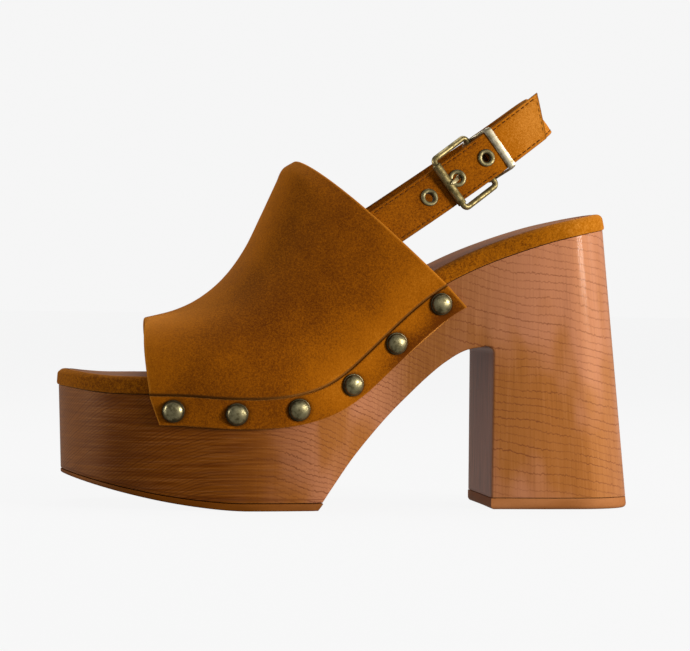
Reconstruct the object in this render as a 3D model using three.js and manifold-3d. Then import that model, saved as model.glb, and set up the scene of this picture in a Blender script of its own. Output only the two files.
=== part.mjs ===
// Left platform clog sandal with an open toe, a studded suede upper and a buckled sling strap.
// Millimetres, +Z up. The toe points to -X and the outer side of the foot is at -Y.
// The origin is on the floor, in the middle of the shoe's length and width.
import * as THREE from "three";
import { mergeVertices } from "three/addons/utils/BufferGeometryUtils.js";
import Module from "manifold-3d";

const wasm = await Module();
wasm.setup();

// Driving sizes of the sole
const soleLength = 240; // toe tip to the back of the heel's foot
const footbedLength = 228.7; // toe tip to the back of the heel seat
const ballWidth = 92;
const waistWidth = 66;
const heelSeatWidth = 62;
const platformHeight = 45.5; // floor to the top of the wood under the ball
const heelHeight = 116.5; // floor to the top of the wood at the back
const toeSpring = 12.8; // how far the toe is off the floor
const toeSpringLength = 75;
const toeSpringCurl = 1.6; // 1 would be a straight ramp
const outsoleThickness = 3;
const outsoleToeThickness = 1.6;
const outsoleRearSlant = 1.8;
const heelTipThickness = 4.6;
const heelBlockLength = 62; // along the floor
const heelBottomWidth = 58;
const breastRadius = 3; // between the arch and the front of the heel
const forepartLength = 107.2; // toe tip to where the arch leaves the floor
const woodInset = 0.9; // how far the rim of the footbed stands out over the wood
const platformDraft = 0.034; // inward lean of the platform's side, per millimetre of depth

// Driving sizes of the footbed and the sock on it
const footbedThickness = 7.2;
const rimRadius = 2.6; // rounding of the rim's upper edge
const rimUndercut = 0.5; // how far the rim draws in above the wood
const rimUndercutHeight = 1.4;
const cupDepth = 1.2;
const cupFlatness = 0.7;
const sockThickness = 1;
const sockRecess = 1.1;
const sockMargin = 4;
const sockDraft = 0.4;

// Driving sizes of the upper
const upperWall = 2;
const openingSkew = 7; // how far the opening's inner side lies behind its outer side
const openingSkewPower = 0.75; // of the cosine that fades it towards the ridge
const studBandDepth = 12.2; // below the crease, on the side of the wood
const creaseDepth = 1;
const creaseWidth = 0.8;
const frontBandSetback = 4.2; // the band's front corner lies behind the toe opening
const rearBandReach = 3; // and its rear corner behind the throat
const studRadius = 4.5;
const studHeight = 3;
const studRimHeight = 0.5;
const studsPerSide = 6;
const studDepth = 6.4; // below the crease, at the front
const lastStudDepth = 5.3; // and at the throat
const firstStud = 7.6; // from the band's front end
const lastStud = 7.5; // from its rear end

// Driving sizes of the sling strap and its buckle
const strapWidth = 17.8;
const strapThickness = 1.8;
const strapEdgeRound = 0.5;
const leanFade = 45; // from the throat back to where the loop stands upright
const strapInsideVamp = 22;
const slingReach = 86.3; // throat to the back of the loop
const slingEndRadius = 9;
const tailLength = 87.4;
const tailSlant = 8.8;
const eyeletRadius = 3.7;
const eyeletHole = 1.9;
const eyeletWall = 0.4;
const eyeletFlange = 0.9;
const eyeletSpacing = 15.3;
const firstEyelet = 24.8;
const frameLength = 20; // bar to bar
const frameInside = 21.6;
const wireRadius = 1.25;
const frameCorner = 1.9;
const rollerRadius = 1.8;
const rollerLength = 19.6;
const rollerLead = 5.3; // from the roller back to the eyelet in use
const foldLength = 18;
const foldFade = 12; // over which the folded strap closes on itself
const prongSlotLength = 14;
const prongWidth = 2;
const prongThickness = 1;
const prongRingWall = 0.8;
const keeperInside = 18.4;
const keeperBarWidth = 3;
const keeperBarThickness = 0.9;
const keeperBevel = 0.3;
const keeperCorner = 1.1;
const keeperSetback = 4.2; // behind the buckle's far bar
const keeperLean = 7.6; // along the strap, from the hidden bar to the one that shows

const clearance = 0.3; // between pieces that touch
const rimClearance = 0.8; // between the upper and the rounded rim

const toeX = -soleLength / 2;
const breastX = soleLength / 2 - heelBlockLength;
const OUTER = -1;
const INNER = 1;
const degrees = Math.PI / 180;
const mix = THREE.MathUtils.lerp;
const footbedX = (share) => toeX + share * footbedLength;

// A smooth curve through a table's rows. Each row gives its place in the column named by key.
function through(rows, key, column, at) {
  const last = rows.length - 1;
  const next = rows.findIndex((row) => row[key] > at);
  const i = next < 0 ? last - 1 : Math.max(0, next - 1);
  const slope = (k) => {
    const [a, b] = [rows[Math.max(0, k - 1)], rows[Math.min(last, k + 1)]];
    return (b[column] - a[column]) / (b[key] - a[key]);
  };
  const [from, to] = [rows[i], rows[i + 1]];
  const span = to[key] - from[key];
  const t = (at - from[key]) / span;
  return (
    (2 * t ** 3 - 3 * t ** 2 + 1) * from[column] +
    (t ** 3 - 2 * t ** 2 + t) * span * slope(i) +
    (3 * t ** 2 - 2 * t ** 3) * to[column] +
    (t ** 3 - t ** 2) * span * slope(i + 1)
  );
}

// The footbed's outline from above: place along it, and half width as a share of a named width.
const outline = [
  { along: 0, across: 0.13, of: ballWidth },
  { along: 0.0242, across: -0.31, of: ballWidth },
  { along: 0.0746, across: -0.64, of: ballWidth },
  { along: 0.1482, across: -0.86, of: ballWidth },
  { along: 0.2449, across: -0.97, of: ballWidth },
  { along: 0.3326, across: -1, of: ballWidth },
  { along: 0.4283, across: -0.955, of: ballWidth },
  { along: 0.5332, across: -1.165, of: waistWidth },
  { along: 0.6471, across: -1.015, of: waistWidth },
  { along: 0.765, across: -1, of: heelSeatWidth },
  { along: 0.8748, across: -1, of: heelSeatWidth },
  { along: 0.9414, across: -0.92, of: heelSeatWidth },
  { along: 0.987, across: -0.613, of: heelSeatWidth },
  { along: 1, across: 0, of: heelSeatWidth },
  { along: 0.987, across: 0.613, of: heelSeatWidth },
  { along: 0.9414, across: 0.92, of: heelSeatWidth },
  { along: 0.8748, across: 0.985, of: heelSeatWidth },
  { along: 0.765, across: 0.95, of: heelSeatWidth },
  { along: 0.6471, across: 0.895, of: waistWidth },
  { along: 0.5332, across: 1.02, of: waistWidth },
  { along: 0.4283, across: 0.89, of: ballWidth },
  { along: 0.3326, across: 0.985, of: ballWidth },
  { along: 0.252, across: 1, of: ballWidth },
  { along: 0.1572, across: 0.945, of: ballWidth },
  { along: 0.0786, across: 0.8, of: ballWidth },
  { along: 0.0262, across: 0.54, of: ballWidth },
];
const outlineCurve = new THREE.CatmullRomCurve3(
  outline.map((row) => new THREE.Vector3(footbedX(row.along), (row.across * row.of) / 2, 0)),
  true,
);
const outlineSamples = 720;
const outlinePoints = evenOutline();
function evenOutline() {
  const points = outlineCurve.getPoints(outlineSamples).slice(0, outlineSamples);
  return points.map((p, i) => {
    const before = points[(i + outlineSamples - 1) % outlineSamples];
    const run = points[(i + 1) % outlineSamples].clone().sub(before).normalize();
    return { x: p.x, y: p.y, nx: run.y, ny: -run.x };
  });
}
const extreme = (better) =>
  outlinePoints.reduce((best, p, i) => (better(p.x, outlinePoints[best].x) ? i : best), 0);
const tipIndex = extreme((a, b) => a < b);
const backIndex = extreme((a, b) => a > b);
const tipX = outlinePoints[tipIndex].x;
const backX = outlinePoints[backIndex].x;

function sideOfOutline(step) {
  const points = [outlinePoints[tipIndex]];
  for (let i = tipIndex; i !== backIndex; ) {
    i = (i + step + outlineSamples) % outlineSamples;
    points.push(outlinePoints[i]);
  }
  return points;
}
const outlineSides = { [OUTER]: sideOfOutline(1), [INNER]: sideOfOutline(-1) };

// The outline's place across the foot at x, with the direction square to it, away from the foot.
function edge(x, side) {
  const points = outlineSides[side];
  const i = points.findIndex((p) => p.x > x);
  if (i < 1) return points.at(i < 0 ? -1 : 0);
  const [a, b] = [points[i - 1], points[i]];
  const t = (x - a.x) / (b.x - a.x);
  return { y: mix(a.y, b.y, t), nx: mix(a.nx, b.nx, t), ny: mix(a.ny, b.ny, t) };
}

// The last's bottom line, seen from the side: the top of the wood, from the platform up to the heel.
const bottomLine = [
  { along: 0, rise: 0.05 },
  { along: 0.022, rise: 0.041 },
  { along: 0.05, rise: 0.028 },
  { along: 0.092, rise: 0.017 },
  { along: 0.155, rise: 0.016 },
  { along: 0.217, rise: 0.015 },
  { along: 0.3024, rise: 0 },
  { along: 0.3719, rise: 0.005 },
  { along: 0.4233, rise: 0.03 },
  { along: 0.4677, rise: 0.08 },
  { along: 0.5049, rise: 0.157 },
  { along: 0.5463, rise: 0.277 },
  { along: 0.5856, rise: 0.397 },
  { along: 0.6208, rise: 0.5 },
  { along: 0.6561, rise: 0.592 },
  { along: 0.6904, rise: 0.665 },
  { along: 0.7478, rise: 0.757 },
  { along: 0.8093, rise: 0.836 },
  { along: 0.8829, rise: 0.914 },
  { along: 0.9444, rise: 0.963 },
  { along: 1, rise: 1 },
];
function woodTop(x) {
  const share = THREE.MathUtils.clamp((x - toeX) / footbedLength, 0, 1);
  return mix(platformHeight, heelHeight, through(bottomLine, "along", "rise", share));
}
function woodTopNormal(x) {
  const step = 0.5;
  const slope = (woodTop(x + step) - woodTop(x - step)) / (2 * step);
  return new THREE.Vector3(-slope, 0, 1).normalize();
}
const onBottomLine = (x, y, height) =>
  new THREE.Vector3(x, y, woodTop(x)).addScaledVector(woodTopNormal(x), height);

// The walking surface under the forepart, which curls up towards the toe.
function floorLine(x) {
  const start = toeX + toeSpringLength;
  return x < start ? toeSpring * ((start - x) / toeSpringLength) ** toeSpringCurl : 0;
}

// The arch, from the back of the platform (run 0) to the front of the heel (run 1).
const arch = [
  { run: 0, rise: 0 },
  { run: 0.07, rise: 0.11 },
  { run: 0.185, rise: 0.285 },
  { run: 0.305, rise: 0.44 },
  { run: 0.42, rise: 0.575 },
  { run: 0.53, rise: 0.69 },
  { run: 0.64, rise: 0.8 },
  { run: 0.75, rise: 0.895 },
  { run: 0.87, rise: 0.97 },
  { run: 1, rise: 1 },
];
const archHeight = 67.3;
const forepartEnd = toeX + forepartLength;
const archEnd = breastX - breastRadius;
function outsoleTop(x) {
  const share = THREE.MathUtils.clamp((x - toeX) / toeSpringLength, 0, 1);
  return floorLine(x) + mix(outsoleToeThickness, outsoleThickness, share);
}
function woodUnderside(x) {
  const foot = outsoleTop(x) + clearance;
  if (x <= forepartEnd) return foot;
  const run = (Math.min(x, archEnd) - forepartEnd) / (archEnd - forepartEnd);
  const height = mix(foot, archHeight, through(arch, "run", "rise", run));
  const round = Math.min(Math.max(x - archEnd, 0), breastRadius);
  return height - (breastRadius - Math.sqrt(breastRadius ** 2 - round ** 2));
}

// A point on the side of the platform or waist, moved out by a distance.
function woodSide(x, z, side, out = 0) {
  const { y, nx, ny } = edge(x, side);
  const inset = woodInset + platformDraft * (woodTop(x) - z) - out;
  return new THREE.Vector3(x - nx * inset, y - ny * inset, z);
}

const heelTurn = mix(breastX, backX, 0.6); // the heel's round back begins here

// A point on the side of the heel block, which lengthens backwards and narrows towards the floor.
const blockStretch = heelBlockLength / (backX - woodInset - breastX) - 1;
const blockNarrowing = 1 - heelBottomWidth / heelSeatWidth;
function blockSide(x, z, side) {
  const { y, nx, ny } = edge(x, side);
  const depth = 1 - z / woodTop(x);
  const stretched = breastX + (x - nx * woodInset - breastX) * (1 + blockStretch * depth);
  return new THREE.Vector3(
    Math.max(stretched, breastX),
    (y - ny * woodInset) * (1 - blockNarrowing * depth),
    z,
  );
}

// Geometry helpers
function outward(geometry) {
  const p = geometry.getAttribute("position");
  const index = geometry.getIndex().array;
  const [a, b, c] = [new THREE.Vector3(), new THREE.Vector3(), new THREE.Vector3()];
  let volume = 0;
  for (let i = 0; i < index.length; i += 3) {
    a.fromBufferAttribute(p, index[i]);
    b.fromBufferAttribute(p, index[i + 1]);
    c.fromBufferAttribute(p, index[i + 2]);
    volume += a.dot(b.cross(c));
  }
  if (volume < 0)
    for (let i = 0; i < index.length; i += 3)
      [index[i + 1], index[i + 2]] = [index[i + 2], index[i + 1]];
  return geometry;
}

// Points that meet become one, and faces that have shrunk to a line are left out.
function fromPoints(points, index) {
  const all = new THREE.BufferGeometry().setFromPoints(points).setIndex(index);
  const merged = mergeVertices(all, 1e-3);
  const faces = merged.getIndex().array;
  const kept = [];
  for (let i = 0; i < faces.length; i += 3) {
    const [a, b, c] = faces.slice(i, i + 3);
    if (a !== b && b !== c && c !== a) kept.push(a, b, c);
  }
  return outward(merged.setIndex(kept));
}

// A closed skin over rings of points. Ends are capped, unless the rings shrink to a line there,
// and a looped row of rings has none.
const CAPPED = [true, true];
const LOOPED = null;
function skin(rings, ends = CAPPED) {
  const count = rings[0].length;
  const points = rings.flat();
  const index = [];
  const spans = ends === LOOPED ? rings.length : rings.length - 1;
  for (let i = 0; i < spans; i++)
    for (let j = 0; j < count; j++) {
      const here = i * count;
      const there = ((i + 1) % rings.length) * count;
      const k = (j + 1) % count;
      index.push(here + j, here + k, there + k, here + j, there + k, there + j);
    }
  const cap = (ring, start, turn) => {
    const middle = points.length;
    const centre = new THREE.Vector3();
    ring.forEach((p) => centre.add(p));
    points.push(centre.divideScalar(count));
    for (let j = 0; j < count; j++) {
      const [a, b] = [start + j, start + ((j + 1) % count)];
      index.push(middle, turn ? b : a, turn ? a : b);
    }
  };
  if (ends?.[0]) cap(rings[0], 0, true);
  if (ends?.[1]) cap(rings.at(-1), (rings.length - 1) * count, false);
  return fromPoints(points, index);
}

// A wall between two grids of points with as many rows and columns as each other.
function wallBetween(outside, inside) {
  const [rows, columns] = [outside.length, outside[0].length];
  const points = [...outside.flat(), ...inside.flat()];
  const index = [];
  const out = (i, j) => i * columns + j;
  const inn = (i, j) => rows * columns + i * columns + j;
  const quad = (a, b, c, d) => index.push(a, b, c, a, c, d);
  for (let i = 0; i < rows - 1; i++) {
    for (let j = 0; j < columns - 1; j++) {
      quad(out(i, j), out(i, j + 1), out(i + 1, j + 1), out(i + 1, j));
      quad(inn(i, j), inn(i + 1, j), inn(i + 1, j + 1), inn(i, j + 1));
    }
    quad(out(i, 0), out(i + 1, 0), inn(i + 1, 0), inn(i, 0));
    const end = columns - 1;
    quad(out(i, end), inn(i, end), inn(i + 1, end), out(i + 1, end));
  }
  for (let j = 0; j < columns - 1; j++) {
    const end = rows - 1;
    quad(out(0, j), inn(0, j), inn(0, j + 1), out(0, j + 1));
    quad(out(end, j), out(end, j + 1), inn(end, j + 1), inn(end, j));
  }
  return fromPoints(points, index);
}

function toSolid(geometry) {
  const bare = new THREE.BufferGeometry();
  const flat = geometry.index ? geometry.toNonIndexed() : geometry;
  bare.setAttribute("position", flat.getAttribute("position"));
  const merged = mergeVertices(bare, 1e-4);
  return new wasm.Manifold(
    new wasm.Mesh({
      numProp: 3,
      vertProperties: merged.getAttribute("position").array,
      triVerts: new Uint32Array(merged.index.array),
    }),
  );
}
function toGeometry(solid) {
  const { vertProperties, triVerts } = solid.getMesh();
  const geometry = new THREE.BufferGeometry();
  geometry.setAttribute("position", new THREE.BufferAttribute(vertProperties, 3));
  return geometry.setIndex(new THREE.BufferAttribute(triVerts, 1));
}
const joined = (a, b) => toGeometry(toSolid(a).add(toSolid(b)));
const cut = (a, ...tools) =>
  toGeometry(tools.reduce((left, tool) => left.subtract(toSolid(tool)), toSolid(a)));
const evenly = (count, f) => Array.from({ length: count + 1 }, (_, i) => f(i / count));
const vector = (...xyz) => new THREE.Vector3(...xyz);

// Stations along the sole, closer together towards its round ends
const tipStations = (from, to, count) =>
  evenly(count, (t) => mix(from, to, 1 - Math.cos((t * Math.PI) / 2)));
const backStations = (from, to, count) =>
  evenly(count, (t) => mix(from, to, Math.sin((t * Math.PI) / 2)));
const evenStations = (from, to, count) => evenly(count, (t) => mix(from, to, t));
const ballX = footbedX(0.3);
const inOrder = (...lists) =>
  lists
    .flat()
    .sort((a, b) => a - b)
    .filter((x, i, all) => !i || x - all[i - 1] > 1e-3);

// A ring across the wood at x, from its top down both sides to a lower height.
function woodRing(x, low, high, place) {
  const levels = evenly(3, (t) => mix(high, low, t));
  const outer = levels.map((z) => place(x, z, OUTER));
  const inner = levels.map((z) => place(x, z, INNER));
  return [...outer, ...inner.reverse()];
}

// Platform, waist and heel block, carved from one piece
function platformUnit() {
  const stations = inOrder(
    tipStations(tipX, ballX, 16),
    evenStations(ballX, forepartEnd, 8),
    evenStations(forepartEnd, archEnd, 18),
    evenly(4, (t) => archEnd + breastRadius * Math.sin((t * Math.PI) / 2)),
    [breastX + breastRadius],
  );
  const platform = skin(
    stations.map((x) => woodRing(x, woodUnderside(x), woodTop(x), woodSide)),
    [false, true],
  );
  const blockStations = inOrder(
    evenStations(breastX, heelTurn, 6),
    backStations(heelTurn, backX, 9),
  );
  const foot = heelTipThickness + clearance;
  const block = skin(
    blockStations.map((x) => woodRing(x, foot, woodTop(x), blockSide)),
    [true, false],
  );
  return joined(platform, block);
}

function forepartOutsole() {
  const stations = inOrder(
    tipStations(tipX, ballX, 14),
    evenStations(ballX, forepartEnd, 6),
  );
  const corner = (x, z, side) => woodSide(x, woodUnderside(x), side).setZ(z);
  const rings = stations.map((x) => {
    const under = x < forepartEnd ? x : x - outsoleRearSlant;
    return [
      corner(x, outsoleTop(x), OUTER),
      corner(under, floorLine(under), OUTER),
      corner(under, floorLine(under), INNER),
      corner(x, outsoleTop(x), INNER),
    ];
  });
  return skin(rings, [false, true]);
}

function heelTip() {
  const stations = inOrder(
    evenStations(breastX, heelTurn, 3),
    backStations(heelTurn, backX, 9),
  );
  return skin(
    stations.map((x) => [
      blockSide(x, heelTipThickness, OUTER),
      blockSide(x, 0, OUTER),
      blockSide(x, 0, INNER),
      blockSide(x, heelTipThickness, INNER),
    ]),
    [true, false],
  );
}

// A ring across the footbed at x. Layers give heights over the wood and insets from the outline.
function beddingRing(x, layers, topCup, bottomCup) {
  const place = (side, { height, inset }) => {
    const { y, nx, ny } = edge(x, side);
    return { x: x - nx * inset, y: y - ny * inset, height };
  };
  const put = ({ x: px, y, height }) => onBottomLine(px, y, height);
  const across = (layer, cup) => {
    const [from, to] = [place(OUTER, layer), place(INNER, layer)];
    const steps = evenly(6, (t) => t).slice(1, -1);
    return steps.map((t) =>
      put({
        x: mix(from.x, to.x, t),
        y: mix(from.y, to.y, t),
        height: layer.height - cup * Math.sin(Math.PI * t) ** cupFlatness,
      }),
    );
  };
  const walls = (side) => layers.map((layer) => put(place(side, layer)));
  return [
    ...walls(OUTER),
    ...across(layers.at(-1), topCup),
    ...walls(INNER).reverse(),
    ...across(layers[0], bottomCup).reverse(),
  ];
}
const beddingStations = inOrder(
  tipStations(tipX, ballX, 11),
  evenStations(ballX, footbedX(0.85), 16),
  backStations(footbedX(0.85), backX, 7),
);

function footbed() {
  const rimTop = footbedThickness - rimRadius;
  const layers = [
    { height: clearance, inset: rimUndercut },
    { height: rimUndercutHeight, inset: 0 },
    { height: rimTop, inset: 0 },
    ...[45, 90].map((turn) => ({
      height: rimTop + rimRadius * Math.sin(turn * degrees),
      inset: rimRadius * (1 - Math.cos(turn * degrees)),
    })),
    { height: footbedThickness - sockRecess, inset: sockMargin - clearance },
  ];
  const rings = beddingStations.map((x) => beddingRing(x, layers, cupDepth, 0));
  return skin(rings, [false, false]);
}

function sock() {
  const base = footbedThickness - sockRecess + clearance;
  const layers = [
    { height: base, inset: sockMargin },
    { height: base + sockThickness, inset: sockMargin + sockDraft },
  ];
  const rings = beddingStations.map((x) => beddingRing(x, layers, cupDepth, cupDepth));
  return skin(rings, [false, false]);
}

// The upper's sections from the toe opening (row 0) to the throat (row 1). Each stands in a plane
// from the crease, at a place along the footbed, up to the ridge over the foot.
// The other columns are shares of the footbed's length and of the named sizes below.
const vampHeight = 143.6; // of the throat's ridge over the floor
const ridgeOffset = 4.5; // of the ridge towards the inner side
const vampSwell = 1.8; // of the sides
const vampBow = 2.6; // of the sections' planes, towards the heel
const sections = [
  { row: 0, crease: 0.1557, topX: 0.1587, topZ: 0.538, full: 0.6, aside: 0.67, swell: 0.78, bow: -1 },
  { row: 0.15, crease: 0.2361, topX: 0.2165, topZ: 0.563, full: 0.62, aside: 0.89, swell: 0.89, bow: -0.46 },
  { row: 0.3, crease: 0.3235, topX: 0.2623, topZ: 0.601, full: 0.7, aside: 1, swell: 1, bow: 0 },
  { row: 0.45, crease: 0.4067, topX: 0.3039, topZ: 0.66, full: 0.8, aside: 1, swell: 1, bow: 0 },
  { row: 0.6, crease: 0.481, topX: 0.3388, topZ: 0.74, full: 0.9, aside: 0.89, swell: 0.89, bow: 0.15 },
  { row: 0.75, crease: 0.5509, topX: 0.3682, topZ: 0.839, full: 1, aside: 0.78, swell: 0.78, bow: 0.31 },
  { row: 0.88, crease: 0.6165, topX: 0.3957, topZ: 0.937, full: 1.06, aside: 0.67, swell: 0.67, bow: 0.46 },
  { row: 0.95, crease: 0.6551, topX: 0.4077, topZ: 0.977, full: 1.08, aside: 0.67, swell: 0.61, bow: 0.58 },
  { row: 1, crease: 0.6884, topX: 0.4297, topZ: 1, full: 1.1, aside: 0.67, swell: 0.56, bow: 0.65 },
];
function section(row) {
  const value = (column) => through(sections, "row", column, row);
  const x = footbedX(value("crease"));
  const foot = vector(x, 0, woodTop(x));
  const ridge = vector(footbedX(value("topX")), 0, value("topZ") * vampHeight);
  const up = ridge.clone().sub(foot);
  const height = up.length();
  up.normalize();
  return { x, foot, up, height, back: vector(up.z, 0, -up.x), value };
}

// A point of the vamp: turn 0 is at the crease and 90 on the ridge. Depth is measured into the wall.
function vampPoint(row, turn, side, depth) {
  const { x, foot, up, height, back, value } = section(row);
  const half = Math.abs(edge(x, side).y) + rimClearance + upperWall - depth;
  const ridgeY = ridgeOffset * value("aside");
  const sine = Math.sin(turn * degrees);
  const y =
    ridgeY +
    (side * half - ridgeY) * Math.cos(turn * degrees) ** value("full") +
    side * vampSwell * value("swell") * Math.sin(2 * turn * degrees);
  return foot
    .clone()
    .addScaledVector(up, (height - depth) * sine)
    .addScaledVector(back, vampBow * value("bow") * Math.sin(2 * turn * degrees))
    .setY(y);
}

// A point of the band on the side of the wood, at a share of its depth below the crease.
function bandPoint(row, share, side, out) {
  const { x } = section(row);
  const front = frontBandSetback * Math.max(0, 1 - 4 * row) ** 2;
  const setback = share * (front + rearBandReach * Math.max(0, 5 * row - 4) ** 2);
  const top = x + setback;
  const down = woodTopNormal(top).multiplyScalar(-share * studBandDepth);
  return woodSide(top + down.x, woodTop(top) + down.z, side, out);
}

// On its inner side the opening lies further back, by a share of the sections' spread there.
const firstSpread = (sections[1].crease - sections[0].crease) * footbedLength;
const skewRows = (openingSkew * sections[1].row) / firstSpread;
function skewed(row, turn, side) {
  const skew = side === INNER ? skewRows * Math.max(0, Math.cos(turn * degrees)) ** openingSkewPower : 0;
  return row + skew * (1 - row) ** 3;
}

const lowestTurn = 1.5; // degrees, just above the crease
function upper() {
  const creaseShare = creaseWidth / studBandDepth;
  const bandShares = [1, 0.66, 0.33, 2 * creaseShare];
  const turns = evenly(12, (t) => mix(lowestTurn, 90, t));
  const wallAt = (side, row, depth) => {
    const low = skewed(row, 0, side);
    return [
      ...bandShares.map((share) => bandPoint(low, share, side, clearance + upperWall - depth)),
      bandPoint(low, creaseShare, side, clearance + upperWall - Math.max(depth, creaseDepth)),
      ...turns.map((turn) => vampPoint(skewed(row, turn, side), turn, side, depth)),
    ];
  };
  const grid = (depth) =>
    evenly(24, (row) => [
      ...wallAt(OUTER, row, depth),
      ...wallAt(INNER, row, depth).reverse().slice(1),
    ]);
  return wallBetween(grid(0), grid(upperWall));
}

// Studs along the middle of the band
const studDome = () => {
  const profile = [
    new THREE.Vector2(0, 0),
    new THREE.Vector2(studRadius, 0),
    ...evenly(4, (t) => {
      const turn = (t * Math.PI) / 2;
      const [r, h] = [Math.cos(turn), Math.sin(turn)];
      return new THREE.Vector2(studRadius * r, studRimHeight + (studHeight - studRimHeight) * h);
    }),
  ];
  profile.at(-1).x = 0;
  return new THREE.LatheGeometry(profile, 16).rotateX(Math.PI / 2);
};
const bandStep = 0.004; // in rows
function bandLength(share, side, end = 1) {
  let length = 0;
  for (let row = skewed(0, 0, side); row < end; row += bandStep) {
    const next = Math.min(row + bandStep, end);
    length += bandPoint(row, share, side, 0).distanceTo(bandPoint(next, share, side, 0));
  }
  return length;
}
function rowAlongBand(distance, share, side) {
  let row = skewed(0, 0, side);
  while (bandLength(share, side, row) < distance) row += bandStep;
  return row;
}
function studPlace(number, side) {
  const depth = mix(studDepth, lastStudDepth, (number - 1) / (studsPerSide - 1));
  const share = depth / studBandDepth;
  const reach = bandLength(share, side) - firstStud - lastStud;
  const distance = firstStud + (reach * (number - 1)) / (studsPerSide - 1);
  const row = rowAlongBand(distance, share, side);
  const step = 0.01;
  const at = (r, s, out) => bandPoint(r, s, side, out);
  const out = clearance + upperWall + clearance;
  const place = at(row, share, out);
  const along = at(row + step, share, out).sub(at(row - step, share, out));
  const down = at(row, share + step, out).sub(at(row, share - step, out));
  const facing = along.cross(down).normalize();
  if (facing.y * side < 0) facing.negate();
  return { place, facing };
}

// The sling: a loop from inside the vamp on the outer side, round the back of the ankle and home.
// It runs in a slanting plane. The heading is its climb in degrees, and steepens towards the back.
const throatRow = 0.985;
const throatTurn = 26;
const climbAtThroat = 34.5;
const climbAtBack = 38;
const strapGap = 1; // between the strap and the curved inside of the vamp
const stack = strapThickness + clearance; // from one layer of strap to the next
const throatAt = (side) => vampPoint(throatRow, throatTurn, side, upperWall);
const throatMiddle = throatAt(OUTER);
const climbAt = (along) =>
  mix(climbAtThroat, climbAtBack, (Math.max(along, 0) / slingReach) ** 2) * degrees;

// Place in the slanting plane, by its distance along the plane from the throat.
const climbSteps = 170;
const climbMargin = 10; // beyond both ends of the strap
const climbStep = (slingReach + strapInsideVamp + 2 * climbMargin) / climbSteps;
const climbPath = (() => {
  const start = -strapInsideVamp - climbMargin;
  const points = [];
  let [x, z] = [0, 0];
  for (let i = 0; i <= climbSteps; i++) {
    const along = start + i * climbStep;
    points.push({ along, x, z });
    x += Math.cos(climbAt(along)) * climbStep;
    z += Math.sin(climbAt(along)) * climbStep;
  }
  return points;
})();
function climbPoint(along) {
  const f = (along - climbPath[0].along) / climbStep;
  const i = THREE.MathUtils.clamp(Math.floor(f), 0, climbSteps - 1);
  const [a, b] = [climbPath[i], climbPath[i + 1]];
  return { x: mix(a.x, b.x, f - i), z: mix(a.z, b.z, f - i) };
}
const climbZero = climbPoint(0);
const slingPlane = (along) => {
  const { x, z } = climbPoint(along);
  return vector(throatMiddle.x + x - climbZero.x, 0, throatMiddle.z + z - climbZero.z);
};

// The inside of the vamp beside a point of the slanting plane, and its lean there.
function vampInside(at, side) {
  const off = (row) => {
    const { foot, up } = section(row);
    const d = at.clone().sub(foot);
    return d.x * up.z - d.z * up.x;
  };
  let [low, high] = [0, 1];
  for (let i = 0; i < 40; i++) {
    const middle = (low + high) / 2;
    if (off(middle) > 0) low = middle;
    else high = middle;
  }
  const { foot, up, height } = section(low);
  const reach = at.clone().sub(foot).dot(up) / (height - upperWall);
  const turn = Math.asin(THREE.MathUtils.clamp(reach, 0, 1)) / degrees;
  const here = vampPoint(low, turn, side, upperWall);
  const above = vampPoint(low, turn + 2, side, upperWall);
  const rise = Math.hypot(above.x - here.x, above.z - here.z);
  return { y: here.y, lean: Math.atan2(side * (here.y - above.y), rise) };
}

// The loop's line in the slanting plane is two straight runs that close in on each other, joined
// by a round end. Distance starts at the throat on the outer side and ends inside the vamp.
const halfAtThroat = {
  [OUTER]: Math.abs(throatAt(OUTER).y) - strapGap - 1.5 * strapThickness - clearance,
  [INNER]: Math.abs(throatAt(INNER).y) - strapGap - strapThickness / 2,
};
const endCentre = slingReach - slingEndRadius;
const closing = (side) => {
  const reach = Math.hypot(endCentre, halfAtThroat[side]);
  return Math.atan2(halfAtThroat[side], endCentre) - Math.asin(slingEndRadius / reach);
};
const runLength = (side) =>
  Math.sqrt(endCentre ** 2 + halfAtThroat[side] ** 2 - slingEndRadius ** 2);
const endTurn = Math.PI - closing(OUTER) - closing(INNER);
const slingLength = runLength(OUTER) + slingEndRadius * endTurn + runLength(INNER);

// Middle, heading and side of the loop at a distance, moved out from it.
function slingFrame(distance, out = 0) {
  const first = runLength(OUTER);
  const second = first + slingEndRadius * endTurn;
  let along, y, heading, side;
  if (distance <= first) {
    side = OUTER;
    heading = closing(OUTER);
    along = distance * Math.cos(heading);
    y = -halfAtThroat[OUTER] + distance * Math.sin(heading);
  } else if (distance < second) {
    const turned = (distance - first) / slingEndRadius;
    heading = closing(OUTER) + turned;
    side = heading < Math.PI / 2 ? OUTER : INNER;
    along = endCentre + slingEndRadius * Math.sin(heading);
    y = -slingEndRadius * Math.cos(heading);
  } else {
    side = INNER;
    heading = Math.PI - closing(INNER);
    const left = slingLength - distance;
    along = left * Math.cos(closing(INNER));
    y = halfAtThroat[INNER] - left * Math.sin(closing(INNER));
  }
  const middle = slingPlane(along);
  const climb = climbAt(along);
  let lean = 0;
  const fade = THREE.MathUtils.clamp(1 - along / leanFade, 0, 1);
  if (fade > 0) {
    const wall = vampInside(slingPlane(Math.min(along, 0)), side);
    lean = wall.lean * fade;
    if (along < 0) {
      const inset = halfAtThroat[side] - Math.abs(throatAt(side).y);
      y = wall.y + side * inset;
    }
  }
  const ahead = vector(Math.cos(climb), 0, Math.sin(climb));
  const run = ahead.clone().multiplyScalar(Math.cos(heading)).setY(Math.sin(heading));
  const ruling = vector(-Math.sin(climb), 0, Math.cos(climb));
  const facing = run.clone().cross(ruling).normalize();
  ruling.applyAxisAngle(run, -lean);
  facing.applyAxisAngle(run, -lean);
  return { middle: middle.setY(y).addScaledVector(facing, out), run, ruling, facing };
}

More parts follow.
